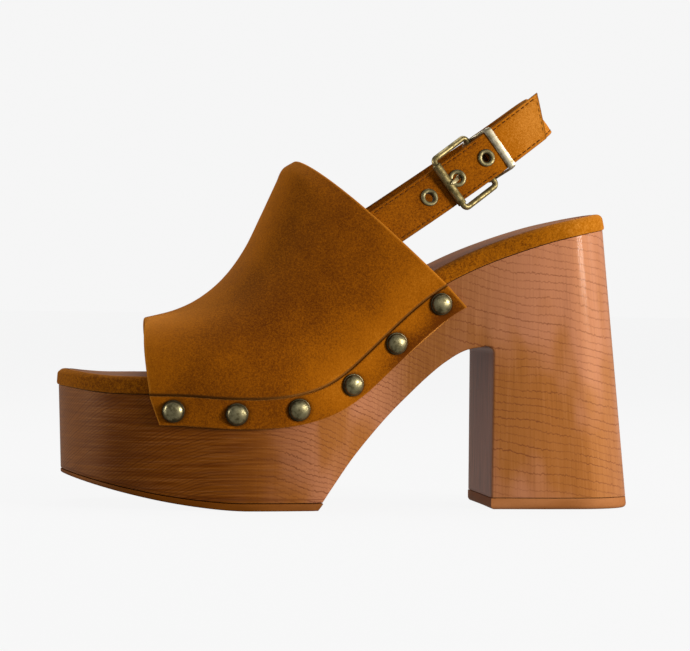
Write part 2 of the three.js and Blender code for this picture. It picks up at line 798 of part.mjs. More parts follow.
// A strap along the sling, as rings of its section with slightly rounded edges.
function strap(distances, frameAt) {
  const [half, thick, round] = [strapWidth / 2, strapThickness / 2, strapEdgeRound];
  const corners = [
    [-half, -thick + round],
    [-half, thick - round],
    [-half + round, thick],
    [half - round, thick],
    [half, thick - round],
    [half, -thick + round],
    [half - round, -thick],
    [-half + round, -thick],
  ];
  return skin(
    distances.map((distance) => {
      const { middle, ruling, facing } = frameAt(distance);
      return corners.map(([across, level]) =>
        middle.clone().addScaledVector(ruling, across).addScaledVector(facing, level),
      );
    }),
  );
}

// The tail strap lies outside the sling strap, dips under the roller and rises over the far bar.
// Its path gives how far it moves out, as a share of the strap's thickness.
const secondEyelet = firstEyelet + eyeletSpacing;
const rollerAt = secondEyelet - rollerLead;
const farBarAt = rollerAt + frameLength;
const beforeFarBar = farBarAt - 0.15 * frameLength;
const tailPath = [
  { along: -strapInsideVamp, out: 0 },
  { along: 0, out: 0 },
  { along: firstEyelet, out: -0.17 },
  { along: rollerAt - 0.15 * frameLength, out: -0.5 },
  { along: rollerAt + 0.1 * frameLength, out: -0.55 },
  { along: secondEyelet, out: -0.33 },
  { along: beforeFarBar, out: 0.22 },
  { along: farBarAt + 0.2 * frameLength, out: 0.33 },
  { along: farBarAt + 0.6 * frameLength, out: 0.08 },
  { along: tailLength - 0.4 * frameLength, out: 0 },
  { along: tailLength + tailSlant, out: 0 },
];
const tailOut = (along) => stack + strapThickness * through(tailPath, "along", "out", along);

// The stiff tail runs on straight where the loop behind it turns.
function tailFrame(distance) {
  const straight = runLength(OUTER);
  const frame = slingFrame(Math.min(distance, straight), tailOut(distance));
  frame.middle.addScaledVector(frame.run, Math.max(0, distance - straight));
  return frame;
}
const eyelets = [0, 1, 2].map((i) => firstEyelet + i * eyeletSpacing);

// A group that stands on the sling: x runs along the strap, y across it upwards and z outwards.
function onSling(distance, out, ...children) {
  const { middle, run, ruling, facing } = slingFrame(distance, out);
  const group = new THREE.Group();
  group.matrixAutoUpdate = false;
  group.matrix.makeBasis(run, ruling, facing).setPosition(middle);
  group.add(...children);
  return group;
}
const placed = (geometry, distance, out) => {
  const { middle, run, ruling, facing } = slingFrame(distance, out);
  return geometry.applyMatrix4(
    new THREE.Matrix4().makeBasis(run, ruling, facing).setPosition(middle),
  );
};

function tailStrap() {
  const end = tailLength + tailSlant;
  const distances = evenly(56, (t) => mix(-strapInsideVamp, end, t));
  const holes = eyelets.map((at) => {
    const radius = eyeletHole + eyeletWall + clearance;
    const hole = new THREE.CylinderGeometry(radius, radius, 4 * strapThickness, 20);
    return placed(hole.rotateX(Math.PI / 2), at, tailOut(at));
  });
  const wasteSize = 2 * strapWidth;
  const waste = new THREE.BoxGeometry(wasteSize, wasteSize, wasteSize)
    .translate(wasteSize / 2, 0, 0)
    .rotateZ(-Math.atan2(tailSlant, strapWidth));
  const { middle, run, ruling, facing } = tailFrame(tailLength);
  waste.applyMatrix4(new THREE.Matrix4().makeBasis(run, ruling, facing).setPosition(middle));
  return cut(strap(distances, tailFrame), ...holes, waste);
}

// The sling strap starts on the buckle's far bar, where it is folded back on itself.
const foldRadius = wireRadius + clearance + strapThickness / 2;
const farBarOut = tailOut(beforeFarBar) - stack - foldRadius;
function slingStrap() {
  const start = farBarAt;
  const closed = (along) => THREE.MathUtils.smoothstep(along, start, start + foldFade);
  const mainOut = (along) => mix(farBarOut + foldRadius, 0, closed(along));
  const foldOut = (along) => mix(farBarOut - foldRadius, -stack, closed(along));
  const folded = evenly(12, (t) => mix(start + foldLength, start, t)).map((along) => ({
    along,
    out: foldOut(along),
  }));
  const turn = evenly(10, (t) => (t - 0.5) * Math.PI)
    .slice(1, -1)
    .map((angle) => ({
      along: start - foldRadius * Math.cos(angle),
      out: farBarOut + foldRadius * Math.sin(angle),
    }));
  const end = slingLength + strapInsideVamp;
  const main = evenly(84, (t) => mix(start, end, t)).map((along) => ({
    along,
    out: mainOut(along),
  }));
  const path = [...folded, ...turn, ...main];
  const [half, thick] = [strapWidth / 2, strapThickness / 2];
  const centre = path.map(({ along, out }) => slingFrame(along, out).middle);
  const rings = path.map(({ along, out }, i) => {
    const { ruling, middle } = slingFrame(along, out);
    const ahead = centre[Math.min(i + 1, path.length - 1)]
      .clone()
      .sub(centre[Math.max(i - 1, 0)])
      .normalize();
    const facing = ahead.clone().cross(ruling).normalize();
    return [
      [-half, -thick],
      [-half, thick],
      [half, thick],
      [half, -thick],
    ].map(([across, level]) =>
      middle.clone().addScaledVector(ruling, across).addScaledVector(facing, level),
    );
  });
  const slotWidth = prongWidth + 4 * clearance;
  const slot = new THREE.BoxGeometry(prongSlotLength, slotWidth, 4 * foldRadius);
  slot.translate(foldRadius - prongSlotLength / 2, 0, 0);
  return cut(skin(rings), placed(slot, start, farBarOut));
}

// Metal parts of the buckle
function ringOfSection(path, profile, axis) {
  const count = path.length;
  return skin(
    path.map((p, i) => {
      const before = path[(i + count - 1) % count];
      const after = path[(i + 1) % count];
      const ahead = after.clone().sub(before).normalize();
      const side = axis.clone().cross(ahead).normalize();
      return profile.map(([s, a]) =>
        p.clone().addScaledVector(side, s).addScaledVector(axis, a),
      );
    }),
    LOOPED,
  );
}
const roundSection = (radius, sides) =>
  Array.from({ length: sides }, (_, i) => {
    const turn = (2 * Math.PI * i) / sides;
    return [radius * Math.cos(turn), radius * Math.sin(turn)];
  });
function roundedLoop(halfX, halfY, corner, steps) {
  const quarter = (cx, cy, from) =>
    evenly(steps, (t) => {
      const turn = (from + 90 * t) * degrees;
      return vector(cx + corner * Math.cos(turn), cy + corner * Math.sin(turn), 0);
    });
  const [x, y] = [halfX - corner, halfY - corner];
  return [
    ...quarter(x, y, 0),
    ...quarter(-x, y, 90),
    ...quarter(-x, -y, 180),
    ...quarter(x, -y, 270),
  ];
}

// The frame tilts, with its roller outside the tail strap and its far bar inside it.
const rollerOut = tailOut(rollerAt) + strapThickness / 2 + 2 * clearance + rollerRadius;
const frameTilt = Math.atan2(rollerOut - farBarOut, frameLength);
const framePlace = {
  along: (rollerAt + farBarAt) / 2,
  out: (rollerOut + farBarOut) / 2,
};
const frameHalf = Math.hypot(frameLength, rollerOut - farBarOut) / 2;

function buckleFrame() {
  const loop = roundedLoop(frameHalf, frameInside / 2 + wireRadius, frameCorner, 4);
  return ringOfSection(loop, roundSection(wireRadius, 8), vector(0, 0, 1)).rotateY(frameTilt);
}

function roller() {
  const bore = wireRadius + clearance;
  const half = rollerLength / 2;
  const profile = [
    new THREE.Vector2(bore, -half),
    new THREE.Vector2(rollerRadius, -half),
    new THREE.Vector2(rollerRadius, half),
    new THREE.Vector2(bore, half),
    new THREE.Vector2(bore, -half),
  ];
  return new THREE.LatheGeometry(profile, 16)
    .translate(-frameHalf, 0, 0)
    .rotateY(frameTilt);
}

// The prong turns on the far bar and comes up through the second eyelet to the roller.
function prong() {
  const bore = wireRadius + clearance;
  const ringOuter = bore + prongRingWall;
  const half = prongWidth / 2;
  const profile = [
    new THREE.Vector2(bore, -half),
    new THREE.Vector2(ringOuter, -half),
    new THREE.Vector2(ringOuter, half),
    new THREE.Vector2(bore, half),
    new THREE.Vector2(bore, -half),
  ];
  const ring = new THREE.LatheGeometry(profile, 20);
  const hole = { along: eyelets[1] - farBarAt, out: tailOut(eyelets[1]) - farBarOut };
  const overRoller = (turn) => {
    const reach = rollerRadius + 2 * clearance + prongThickness / 2;
    return {
      along: rollerAt - farBarAt + reach * Math.cos(turn * degrees),
      out: rollerOut - farBarOut + reach * Math.sin(turn * degrees),
    };
  };
  const route = [
    { along: -bore - prongRingWall / 2, out: 0 },
    { along: hole.along + 1.6 * prongWidth, out: hole.out - 2.2 * prongThickness },
    { along: hole.along + 0.35 * prongWidth, out: hole.out - 0.9 * prongThickness },
    { along: hole.along - 0.35 * prongWidth, out: hole.out + 1.6 * prongThickness },
    overRoller(30),
    overRoller(90),
  ];
  const curve = new THREE.CatmullRomCurve3(
    route.map(({ along, out }) => vector(along, 0, out)),
  );
  const thick = prongThickness / 2;
  const rings = evenly(14, (t) => t).map((t) => {
    const p = curve.getPoint(t);
    const ahead = curve.getTangent(t);
    const up = vector(-ahead.z, 0, ahead.x);
    const taper = mix(1, 0.7, t);
    return [
      [-half * taper, -thick],
      [half * taper, -thick],
      [half * taper, thick],
      [-half * taper, thick],
    ].map(([side, rise]) => p.clone().addScaledVector(up, rise).setY(side));
  });
  return joined(ring, skin(rings));
}

// The keeper is a flat loop round both straps. Its hidden bar lies nearer the toe than the other.
const keeperAt = farBarAt + keeperSetback;
function keeper() {
  const high = tailOut(keeperAt) + strapThickness / 2 + clearance;
  const low = farBarOut - foldRadius - strapThickness / 2 - clearance;
  const halfAcross = (keeperInside + keeperBarThickness) / 2;
  const halfHigh = (high - low + keeperBarThickness) / 2;
  const [w, t] = [keeperBarWidth / 2, keeperBarThickness / 2];
  const flat = [
    [-t, -w],
    [-t, w],
    [t - keeperBevel, w],
    [t, w - keeperBevel],
    [t, -w + keeperBevel],
    [t - keeperBevel, -w],
  ];
  const turned = new THREE.Matrix4().makeBasis(vector(0, 1, 0), vector(0, 0, 1), vector(1, 0, 0));
  const leaning = new THREE.Matrix4().makeShear(0, 0, 0, 0, keeperLean / (2 * halfHigh), 0);
  const loop = roundedLoop(halfAcross, halfHigh, keeperCorner, 3);
  return ringOfSection(loop, flat, vector(0, 0, 1))
    .applyMatrix4(turned)
    .applyMatrix4(leaning)
    .translate(0, 0, (high + low) / 2);
}

function eyelet() {
  const barrel = eyeletHole + eyeletWall;
  const half = strapThickness / 2;
  const [flangeLow, flangeHigh] = [half + clearance, half + eyeletFlange];
  const roll = flangeHigh - flangeLow;
  const profile = [
    new THREE.Vector2(eyeletHole, -half),
    new THREE.Vector2(barrel, -half),
    new THREE.Vector2(barrel, flangeLow),
    new THREE.Vector2(eyeletRadius, flangeLow),
    new THREE.Vector2(eyeletRadius - roll, flangeHigh),
    new THREE.Vector2(eyeletHole, flangeHigh - roll / 2),
    new THREE.Vector2(eyeletHole, -half),
  ];
  return new THREE.LatheGeometry(profile, 16).rotateX(Math.PI / 2);
}

// Materials
const material = (color, roughness, metalness = 0) =>
  new THREE.MeshStandardMaterial({ color, roughness, metalness });
const wood = material(0xb5714a, 0.5);
const rubber = material(0x9a5f38, 0.7);
const suede = material(0x9c5a12, 0.95);
const lining = material(0x8a5f4e, 0.45);
const antiqueBrass = material(0x8b8160, 0.35, 1);

function mesh(name, geometry, finish) {
  const made = new THREE.Mesh(geometry, finish);
  made.name = name;
  return made;
}

const shoe = new THREE.Group();
shoe.add(
  mesh("platform_unit", platformUnit(), wood),
  mesh("forepart_outsole", forepartOutsole(), rubber),
  mesh("heel_tip", heelTip(), rubber),
  mesh("footbed", footbed(), suede),
  mesh("sock_lining", sock(), lining),
  mesh("upper", upper(), suede),
  mesh("tail_strap", tailStrap(), suede),
  mesh("sling_strap", slingStrap(), suede),
);
for (const [side, word] of [
  [OUTER, "outer"],
  [INNER, "inner"],
])
  for (let number = 1; number <= studsPerSide; number++) {
    const { place, facing } = studPlace(number, side);
    const stud = mesh(`stud_${word}_${number}`, studDome(), antiqueBrass);
    stud.position.copy(place);
    stud.quaternion.setFromUnitVectors(vector(0, 0, 1), facing);
    shoe.add(stud);
  }
shoe.add(
  onSling(
    framePlace.along,
    framePlace.out,
    mesh("buckle_frame", buckleFrame(), antiqueBrass),
    mesh("buckle_roller", roller(), antiqueBrass),
  ),
  onSling(farBarAt, farBarOut, mesh("buckle_prong", prong(), antiqueBrass)),
  onSling(keeperAt, 0, mesh("buckle_keeper", keeper(), antiqueBrass)),
);
eyelets.forEach((at, i) => {
  const slope = (tailOut(at + 1) - tailOut(at - 1)) / 2;
  const geometry = eyelet().rotateY(-Math.atan(slope));
  shoe.add(onSling(at, tailOut(at), mesh(`eyelet_${i + 1}`, geometry, antiqueBrass)));
});

export default shoe;
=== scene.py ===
import bmesh
import bpy
import numpy as np
from mathutils import Matrix, Vector


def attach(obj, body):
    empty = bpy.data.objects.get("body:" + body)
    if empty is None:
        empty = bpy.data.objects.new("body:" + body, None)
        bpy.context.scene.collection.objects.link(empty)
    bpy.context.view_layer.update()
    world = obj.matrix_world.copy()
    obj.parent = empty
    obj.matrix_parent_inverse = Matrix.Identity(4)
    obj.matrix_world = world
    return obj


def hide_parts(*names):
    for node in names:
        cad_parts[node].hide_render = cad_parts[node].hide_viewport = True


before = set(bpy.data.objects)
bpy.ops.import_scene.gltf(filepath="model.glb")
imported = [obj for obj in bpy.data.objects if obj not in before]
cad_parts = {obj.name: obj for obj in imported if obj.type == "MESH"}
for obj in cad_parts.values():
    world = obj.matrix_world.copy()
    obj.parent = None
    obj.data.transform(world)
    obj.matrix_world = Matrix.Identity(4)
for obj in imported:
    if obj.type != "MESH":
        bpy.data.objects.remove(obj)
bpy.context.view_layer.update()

# Platform, waist and heel
# One moulding in hard foam with a foil printed and stained like wood. The footbed is glued on its
# top, and the outsole and the heel's top piece are glued under it.
MM = 0.001  # the sizes below are in millimetres
OUTER, INNER = -1, 1
sole_length = 240
footbed_length = 228.7
ball_width = 92
waist_width = 66
heel_seat_width = 62
platform_height = 45.5
heel_height = 116.5
toe_spring = 12.8
toe_spring_length = 75
toe_spring_curl = 1.6
outsole_thickness = 3
outsole_toe_thickness = 1.6
heel_tip_thickness = 4.6
heel_block_length = 62
heel_bottom_width = 58
breast_radius = 3
forepart_length = 107.2
arch_height = 67.3
wood_inset = 0.9
platform_draft = 0.034
clearance = 0.3
seam_round = 0.3
edge_round = 0.9
waist_blend = 6

toe_x = -sole_length / 2
breast_x = sole_length / 2 - heel_block_length
forepart_end = toe_x + forepart_length
arch_end = breast_x - breast_radius

# Outline of the footbed: place along it, half width as a share of a width, and that width
outline = np.array([
    (0, 0.13, ball_width), (0.0242, -0.31, ball_width), (0.0746, -0.64, ball_width),
    (0.1482, -0.86, ball_width), (0.2449, -0.97, ball_width), (0.3326, -1, ball_width),
    (0.4283, -0.955, ball_width), (0.5332, -1.165, waist_width), (0.6471, -1.015, waist_width),
    (0.765, -1, heel_seat_width), (0.8748, -1, heel_seat_width), (0.9414, -0.92, heel_seat_width),
    (0.987, -0.613, heel_seat_width), (1, 0, heel_seat_width), (0.987, 0.613, heel_seat_width),
    (0.9414, 0.92, heel_seat_width), (0.8748, 0.985, heel_seat_width), (0.765, 0.95, heel_seat_width),
    (0.6471, 0.895, waist_width), (0.5332, 1.02, waist_width), (0.4283, 0.89, ball_width),
    (0.3326, 0.985, ball_width), (0.252, 1, ball_width), (0.1572, 0.945, ball_width),
    (0.0786, 0.8, ball_width), (0.0262, 0.54, ball_width),
])

# Bottom line of the last from the platform (rise 0) to the heel seat (rise 1)
bottom_line = np.array([
    (0, 0.05), (0.022, 0.041), (0.05, 0.028), (0.092, 0.017), (0.155, 0.016), (0.217, 0.015),
    (0.3024, 0), (0.3719, 0.005), (0.4233, 0.03), (0.4677, 0.08), (0.5049, 0.157),
    (0.5463, 0.277), (0.5856, 0.397), (0.6208, 0.5), (0.6561, 0.592), (0.6904, 0.665),
    (0.7478, 0.757), (0.8093, 0.836), (0.8829, 0.914), (0.9444, 0.963), (1, 1),
])

# Arch from the back of the platform (run 0) to the front of the heel (run 1)
arch = np.array([
    (0, 0), (0.07, 0.11), (0.185, 0.285), (0.305, 0.44), (0.42, 0.575),
    (0.53, 0.69), (0.64, 0.8), (0.75, 0.895), (0.87, 0.97), (1, 1),
])


def mix(a, b, t):
    """a where t is 0 and b where t is 1."""
    return a + (b - a) * t


def smooth(low, high, x):
    """0 below low, 1 above high, and three t squared less two t cubed between."""
    t = np.clip((x - low) / (high - low), 0, 1)
    return t * t * (3 - 2 * t)


def xyz(x, y, z):
    return np.stack(np.broadcast_arrays(x, y, z), -1).astype(float)


def unit(v):
    return v / np.linalg.norm(v, axis=-1, keepdims=True)


def cubic(start, end, leaving, arriving, t):
    """The cubic from start to end that leaves and arrives with the two given slopes."""
    return (
        (2 * t**3 - 3 * t**2 + 1) * start + (t**3 - 2 * t**2 + t) * leaving
        + (3 * t**2 - 2 * t**3) * end + (t**3 - t**2) * arriving
    )


def through(keys, values, at):
    """A smooth curve through rows: between two rows a cubic, whose slope at each row is the slope
    of the line between the rows beside it."""
    wide = np.concatenate([keys[:1], keys, keys[-1:]])
    tall = np.concatenate([values[:1], values, values[-1:]])
    slopes = (tall[2:] - tall[:-2]) / (wide[2:] - wide[:-2])
    i = np.clip(np.searchsorted(keys, at, side="right") - 1, 0, len(keys) - 2)
    span = keys[i + 1] - keys[i]
    t = (at - keys[i]) / span
    return cubic(values[i], values[i + 1], span * slopes[i], span * slopes[i + 1], t)


def closed_curve(points, count):
    """A closed smooth curve through points: between two of them a cubic, whose end slopes weigh
    the neighbours by the square root of their distance."""
    place = np.arange(count) * len(points) / count
    i = place.astype(int)
    t = (place - i)[:, None]
    a, b, c, d = (points[(i + k) % len(points)] for k in (-1, 0, 1, 2))
    before, here, after = (
        np.sqrt(np.linalg.norm(q - p, axis=1, keepdims=True)) for p, q in ((a, b), (b, c), (c, d))
    )
    leaving = (b - a) / before - (c - a) / (before + here) + (c - b) / here
    arriving = (c - b) / here - (d - b) / (here + after) + (d - c) / after
    return cubic(b, c, leaving * here, arriving * here, t)


outline_points = np.stack(
    [toe_x + outline[:, 0] * footbed_length, outline[:, 1] * outline[:, 2] / 2], -1
)
edge_line = closed_curve(outline_points, 2880)
edge_run = unit(np.roll(edge_line, -1, 0) - np.roll(edge_line, 1, 0))
edge_line = np.concatenate([edge_line, edge_run[:, 1:], -edge_run[:, :1]], -1)
tip, back = edge_line[:, 0].argmin(), edge_line[:, 0].argmax()
from_tip = np.roll(edge_line, -tip, 0)
to_back = (back - tip) % len(edge_line)
edge_sides = {
    OUTER: from_tip[: to_back + 1],
    INNER: np.concatenate([from_tip[:1], from_tip[to_back:][::-1]]),
}
tip_x, back_x = edge_line[tip, 0], edge_line[back, 0]
ball_x = toe_x + 0.3 * footbed_length
heel_turn = mix(breast_x, back_x, 0.6)
block_stretch = heel_block_length / (back_x - wood_inset - breast_x) - 1


def edge(x, side):
    """Place of the outline across the foot at x, with the direction square to it, outwards."""
    line = edge_sides[side]
    return [np.interp(x, line[:, 0], line[:, k]) for k in (1, 2, 3)]


def outwards(x, side):
    """Level direction square to the outline."""
    _, nx, ny = edge(x, side)
    return unit(xyz(nx, ny, 0))


def toe_columns(count):
    """Places from the toe's tip to the ball, closest together where the outline turns."""
    return tip_x + (ball_x - tip_x) * (1 - np.cos(np.linspace(0, np.pi / 2, count)))


def back_columns(start, count):
    """Places from a start to the heel's back, closest together where the outline turns."""
    return mix(start, back_x, np.sin(np.linspace(0, np.pi / 2, count)))[1:]


def wood_top(x):
    """The footbed's seat: the bottom line, from the platform's height to the heel's."""
    share = np.clip((x - toe_x) / footbed_length, 0, 1)
    return mix(platform_height, heel_height, through(bottom_line[:, 0], bottom_line[:, 1], share))


def wood_top_normal(x):
    """Direction square to the seat, from its rise over one millimetre."""
    slope = wood_top(x + 0.5) - wood_top(x - 0.5)
    return unit(xyz(-slope, 0, 1))


def floor_line(x):
    """The walking surface: a power of the distance before the spring's start."""
    ahead = np.maximum(toe_x + toe_spring_length - x, 0) / toe_spring_length
    return toe_spring * ahead**toe_spring_curl


def outsole_top(x):
    """The floor line plus the outsole's thickness, which grows evenly over the toe's spring."""
    share = np.clip((x - toe_x) / toe_spring_length, 0, 1)
    return floor_line(x) + mix(outsole_toe_thickness, outsole_thickness, share)


def wood_underside(x):
    """The outsole's top plus a clearance, then the arch, then a quarter round into the breast."""
    foot = outsole_top(x) + clearance
    run = np.clip((x - forepart_end) / (arch_end - forepart_end), 0, 1)
    height = mix(foot, arch_height, through(arch[:, 0], arch[:, 1], run))
    into = np.clip(x - arch_end, 0, breast_radius)
    drop = breast_radius - np.sqrt(breast_radius**2 - into**2)
    return np.where(x <= forepart_end, foot, height - drop)


def wood_side(x, z, side, out=0):
    """The outline, drawn in by the inset and the draft and moved out by a distance."""
    y, nx, ny = edge(x, side)
    inset = wood_inset + platform_draft * (wood_top(x) - z) - out
    return xyz(x - nx * inset, y - ny * inset, z)


def block_side(x, z, side):
    """The outline, stretched backwards from the breast and narrowed as it nears the floor."""
    y, nx, ny = edge(x, side)
    depth = 1 - z / wood_top(x)
    narrowing = 1 - heel_bottom_width / heel_seat_width
    stretched = breast_x + (x - nx * wood_inset - breast_x) * (1 + block_stretch * depth)
    stretched = np.where(x < breast_x, stretched, np.maximum(stretched, breast_x))
    return xyz(stretched, (y - ny * wood_inset) * (1 - narrowing * depth), z)


def unit_side(x, z, side):
    """The platform's side, which becomes the heel's in the last few millimetres of the waist."""
    share = smooth(breast_x - waist_blend, breast_x, x)[..., None]
    return mix(wood_side(x, z, side), block_side(x, z, side), share)


def vertices(piece):
    """A piece's points in millimetres."""
    points = np.empty(len(piece.data.vertices) * 3)
    piece.data.vertices.foreach_get("co", points)
    return points.reshape(-1, 3) / MM


def paint(piece, name, values):
    """Stores three numbers for each point of a piece, for its material to read."""
    layer = piece.data.attributes.new(name, "FLOAT_VECTOR", "POINT")
    layer.data.foreach_set("vector", np.asarray(values, float).ravel())


def solid(name, points, faces, merge, sharp, marks=None):
    """A piece from points in millimetres: points closer than merge become one, open loops are
    filled, the faces are turned outwards and edges sharper than an angle stay sharp."""
    mesh = bpy.data.meshes.new(name)
    mesh.from_pydata(points * MM, [], faces)
    piece = bpy.data.objects.new(name, mesh)
    bpy.context.scene.collection.objects.link(piece)
    if marks is not None:
        paint(piece, "marks", marks)
    bm = bmesh.new()
    bm.from_mesh(mesh)
    bmesh.ops.remove_doubles(bm, verts=bm.verts, dist=merge * MM)
    bmesh.ops.holes_fill(bm, edges=[e for e in bm.edges if e.is_boundary], sides=0)
    bmesh.ops.recalc_face_normals(bm, faces=bm.faces)
    bm.to_mesh(mesh)
    bm.free()
    mesh.shade_smooth()
    mesh.set_sharp_from_angle(angle=np.radians(sharp))
    return piece


def shell(name, *grids, merge=0.01, sharp=40, marks=None):
    """A piece from grids of points, where four neighbours in a grid make a face. Marks are three
    numbers a point for the material, in the grids' order."""
    points, faces, first = [], [], 0
    for grid in grids:
        rows, columns = grid.shape[:2]
        at = first + np.arange(rows * columns).reshape(rows, columns)
        cells = np.stack([at[:-1, :-1], at[:-1, 1:], at[1:, 1:], at[1:, :-1]], -1)
        points.append(grid.reshape(-1, 3))
        faces.append(cells.reshape(-1, 4))
        first += rows * columns
    return solid(name, np.concatenate(points), np.concatenate(faces), merge, sharp, marks)


def across(a, b, count):
    """Points between two rows of points, without the rows themselves."""
    return [mix(a, b, t) for t in np.linspace(0, 1, count)[1:-1]]


def platform_unit():
    """Rings across the unit along its underside, from the toe up the arch and down the breast,
    and the two sides of the heel block behind them. Each lower edge is a quarter round."""
    foot = heel_tip_thickness + clearance
    x = np.concatenate([
        toe_columns(80),
        np.linspace(ball_x, forepart_end, 26)[1:],
        np.linspace(forepart_end, arch_end, 80)[1:],
        arch_end + breast_radius * np.sin(np.linspace(0, np.pi / 2, 9))[1:],
    ])
    z = wood_underside(x)
    corner = len(x) - 1
    down = np.linspace(z[-1], foot, 60)[1:]
    x = np.concatenate([x, np.full(len(down), breast_x)])
    z = np.concatenate([z, down])
    ahead = unit(np.stack([np.gradient(x), np.gradient(z)], -1))
    under = xyz(ahead[:, 1], 0, -ahead[:, 0])
    radius = np.where(x < forepart_end, seam_round, edge_round)[:, None]
    low_x, low_z = (np.stack([x, z], -1) - radius * under[:, ::2]).T
    share = np.linspace(0, 1, 30)[:, None]
    turns = np.radians([22.5, 45, 67.5, 90])
    walls, arcs = {}, {}
    for side in (OUTER, INNER):
        square = outwards(x, side)
        low = unit_side(x, z, side)
        walls[side] = unit_side(mix(x, low_x, share), mix(wood_top(x), low_z, share), side)
        arcs[side] = [low + radius * (square * (np.cos(a) - 1) + under * (np.sin(a) - 1)) for a in turns]
    beneath = [
        walls[OUTER][-1], *arcs[OUTER], *across(arcs[OUTER][-1], arcs[INNER][-1], 12),
        *arcs[INNER][::-1], walls[INNER][-1],
    ]
    over = across(walls[INNER][0], walls[OUTER][0], 12)
    ring = [*walls[OUTER], *beneath[1:-1], *walls[INNER][::-1], *over, walls[OUTER][0]]
    grids = [np.stack(ring, 1)[: corner + 1], np.stack(beneath, 1)[corner:]]
    columns = np.concatenate([
        np.linspace(breast_x, heel_turn, 26)[1:],
        back_columns(heel_turn, 46),
    ])
    pull = edge_round * (back_x - columns) / (back_x - breast_x)
    upper = mix(wood_top(columns), low_z[corner], share)
    lower = np.broadcast_to(down[:, None], (len(down), len(columns)))
    block_z = np.concatenate([upper, lower])
    block_x = columns + pull * np.concatenate([share, np.ones((len(down), 1))])
    tops = []
    for side in (OUTER, INNER):
        first = np.concatenate([walls[side][:, corner], walls[side][-1, corner + 1 :]])
        wall = np.concatenate([first[:, None], unit_side(block_x, block_z, side)], 1)
        grids.append(wall)
        tops.append(wall[0])
    grids.append(np.stack([tops[0], *across(tops[0], tops[1], 12), tops[1]]))
    return shell("wood_unit", *grids)


# The grain's lines climb over the platform and fall towards the heel. Each row gives a place
# round the outline, as a share, and how far the lines there lie below the level ones.
outline_length = 265
grain_rise = np.array([
    (0, 0), (0.15, -27), (0.25, -43), (0.36, -51), (0.5, -42), (0.6, -30), (0.7, -22),
    (0.8, -17), (1, -8),
])

# Stretches of the outline over which the stain, the painted highlights and the painted shade
# change, in millimetres from the toe's tip
# A painted highlight, paler at the toe's tip
toe_painted_highlight = (6.0, 44.0)
# From the platform's brown, partly stain and partly painted shade, to the heel's tan
turns_tan = (82.0, 150.0)
# Painted shade over the waist
waist_shade_begins, waist_shade_ends = (140.0, 168.0), (178.0, 216.0)
# A pale, greyer painted highlight round the heel's back
back_painted_highlight = (228.0, 262.0)
coarse_lines_begin = (150.0, 190.0)
close_lines_begin, close_lines_end = (72.0, 125.0), (160.0, 190.0)
fine_lines_end = (78.0, 112.0)

# The groove in the wood: its height over the outsole, and how far above and below it fades
groove_height = 1.7
groove_half = (0.1, 0.4)


def grain_run(points):
    """Way round the outline, height, and height over the grain's own line, in millimetres."""
    x, y, z = points.T
    depth = 1 - z / wood_top(np.clip(x, toe_x, back_x))
    x = np.where(x > breast_x, breast_x + (x - breast_x) / (1 + block_stretch * depth), x)
    ways = []
    for side in (OUTER, INNER):
        line = edge_sides[side]
        steps = np.linalg.norm(np.diff(line[:, :2], axis=0), axis=1)
        way = np.concatenate([[0], np.cumsum(steps)])
        ways.append(np.interp(x, line[:, 0], way / way[-1]))
    middle = (edge(x, OUTER)[0] + edge(x, INNER)[0]) / 2
    way = np.where(y < middle, *ways)
    return xyz(way * outline_length, z, z + through(grain_rise[:, 0], grain_rise[:, 1], way))


def srgb(red, green, blue):
    """A colour as a screen shows it, from 0 to 255, as the shader's linear one."""
    c = np.array([red, green, blue]) / 255
    linear = np.where(c <= 0.04045, c / 12.92, ((c + 0.055) / 1.055) ** 2.4)
    return (*linear.tolist(), 1.0)


def add(tree, kind, settings=(), out=0, **sockets):
    """Adds a shader node and gives back one of its outputs. A socket named in_2 is the third."""
    made = tree.nodes.new("ShaderNode" + kind)
    for key, value in dict(settings).items():
        setattr(made, key, value)
    for key, value in sockets.items():
        name = int(key[3:]) if key.startswith("in_") else key.replace("_", " ")
        if isinstance(value, bpy.types.NodeSocket):
            tree.links.new(value, made.inputs[name])
        else:
            made.inputs[name].default_value = value
    return made.outputs[out] if made.outputs else None


def painted(tree, name):
    """The numbers painted on a piece under a name: all three together, and one by one."""
    together = add(tree, "Attribute", {"attribute_name": name}, out=1)
    return together, add(tree, "SeparateXYZ", Vector=together).node.outputs


def maths(tree, operation, a, b=0.0, c=0.0):
    return add(tree, "Math", {"operation": operation}, in_0=a, in_1=b, in_2=c)


def stage_of(tree, value, low, high, bottom=0.0, top=1.0):
    """Eases a value from bottom to top between two limits."""
    return add(
        tree, "MapRange", {"interpolation_type": "SMOOTHSTEP"},
        Value=value, From_Min=low, From_Max=high, To_Min=bottom, To_Max=top,
    )


def blend(tree, share, a, b, way="MIX"):
    """Blends two colours."""
    settings = {"data_type": "RGBA", "blend_type": way}
    return add(tree, "Mix", settings, out=2, in_0=share, in_6=a, in_7=b)


def stretched(tree, vector, scale, **noise):
    """Noise on a place multiplied by three numbers."""
    scaled = add(tree, "VectorMath", {"operation": "MULTIPLY"}, in_0=vector, in_1=scale)
    return add(tree, "TexNoise", Vector=scaled, **{"Scale": 1.0, "Detail": 3.0, **noise})


def group(name, inputs, outputs):
    """An empty shader node group with its sockets."""
    tree = bpy.data.node_groups.new(name, "ShaderNodeTree")
    for label, kind in inputs.items():
        tree.interface.new_socket(label, in_out="INPUT", socket_type="NodeSocket" + kind)
    for label, kind in outputs.items():
        tree.interface.new_socket(label, in_out="OUTPUT", socket_type="NodeSocket" + kind)
    return tree, tree.nodes.new("NodeGroupInput").outputs, tree.nodes.new("NodeGroupOutput").inputs


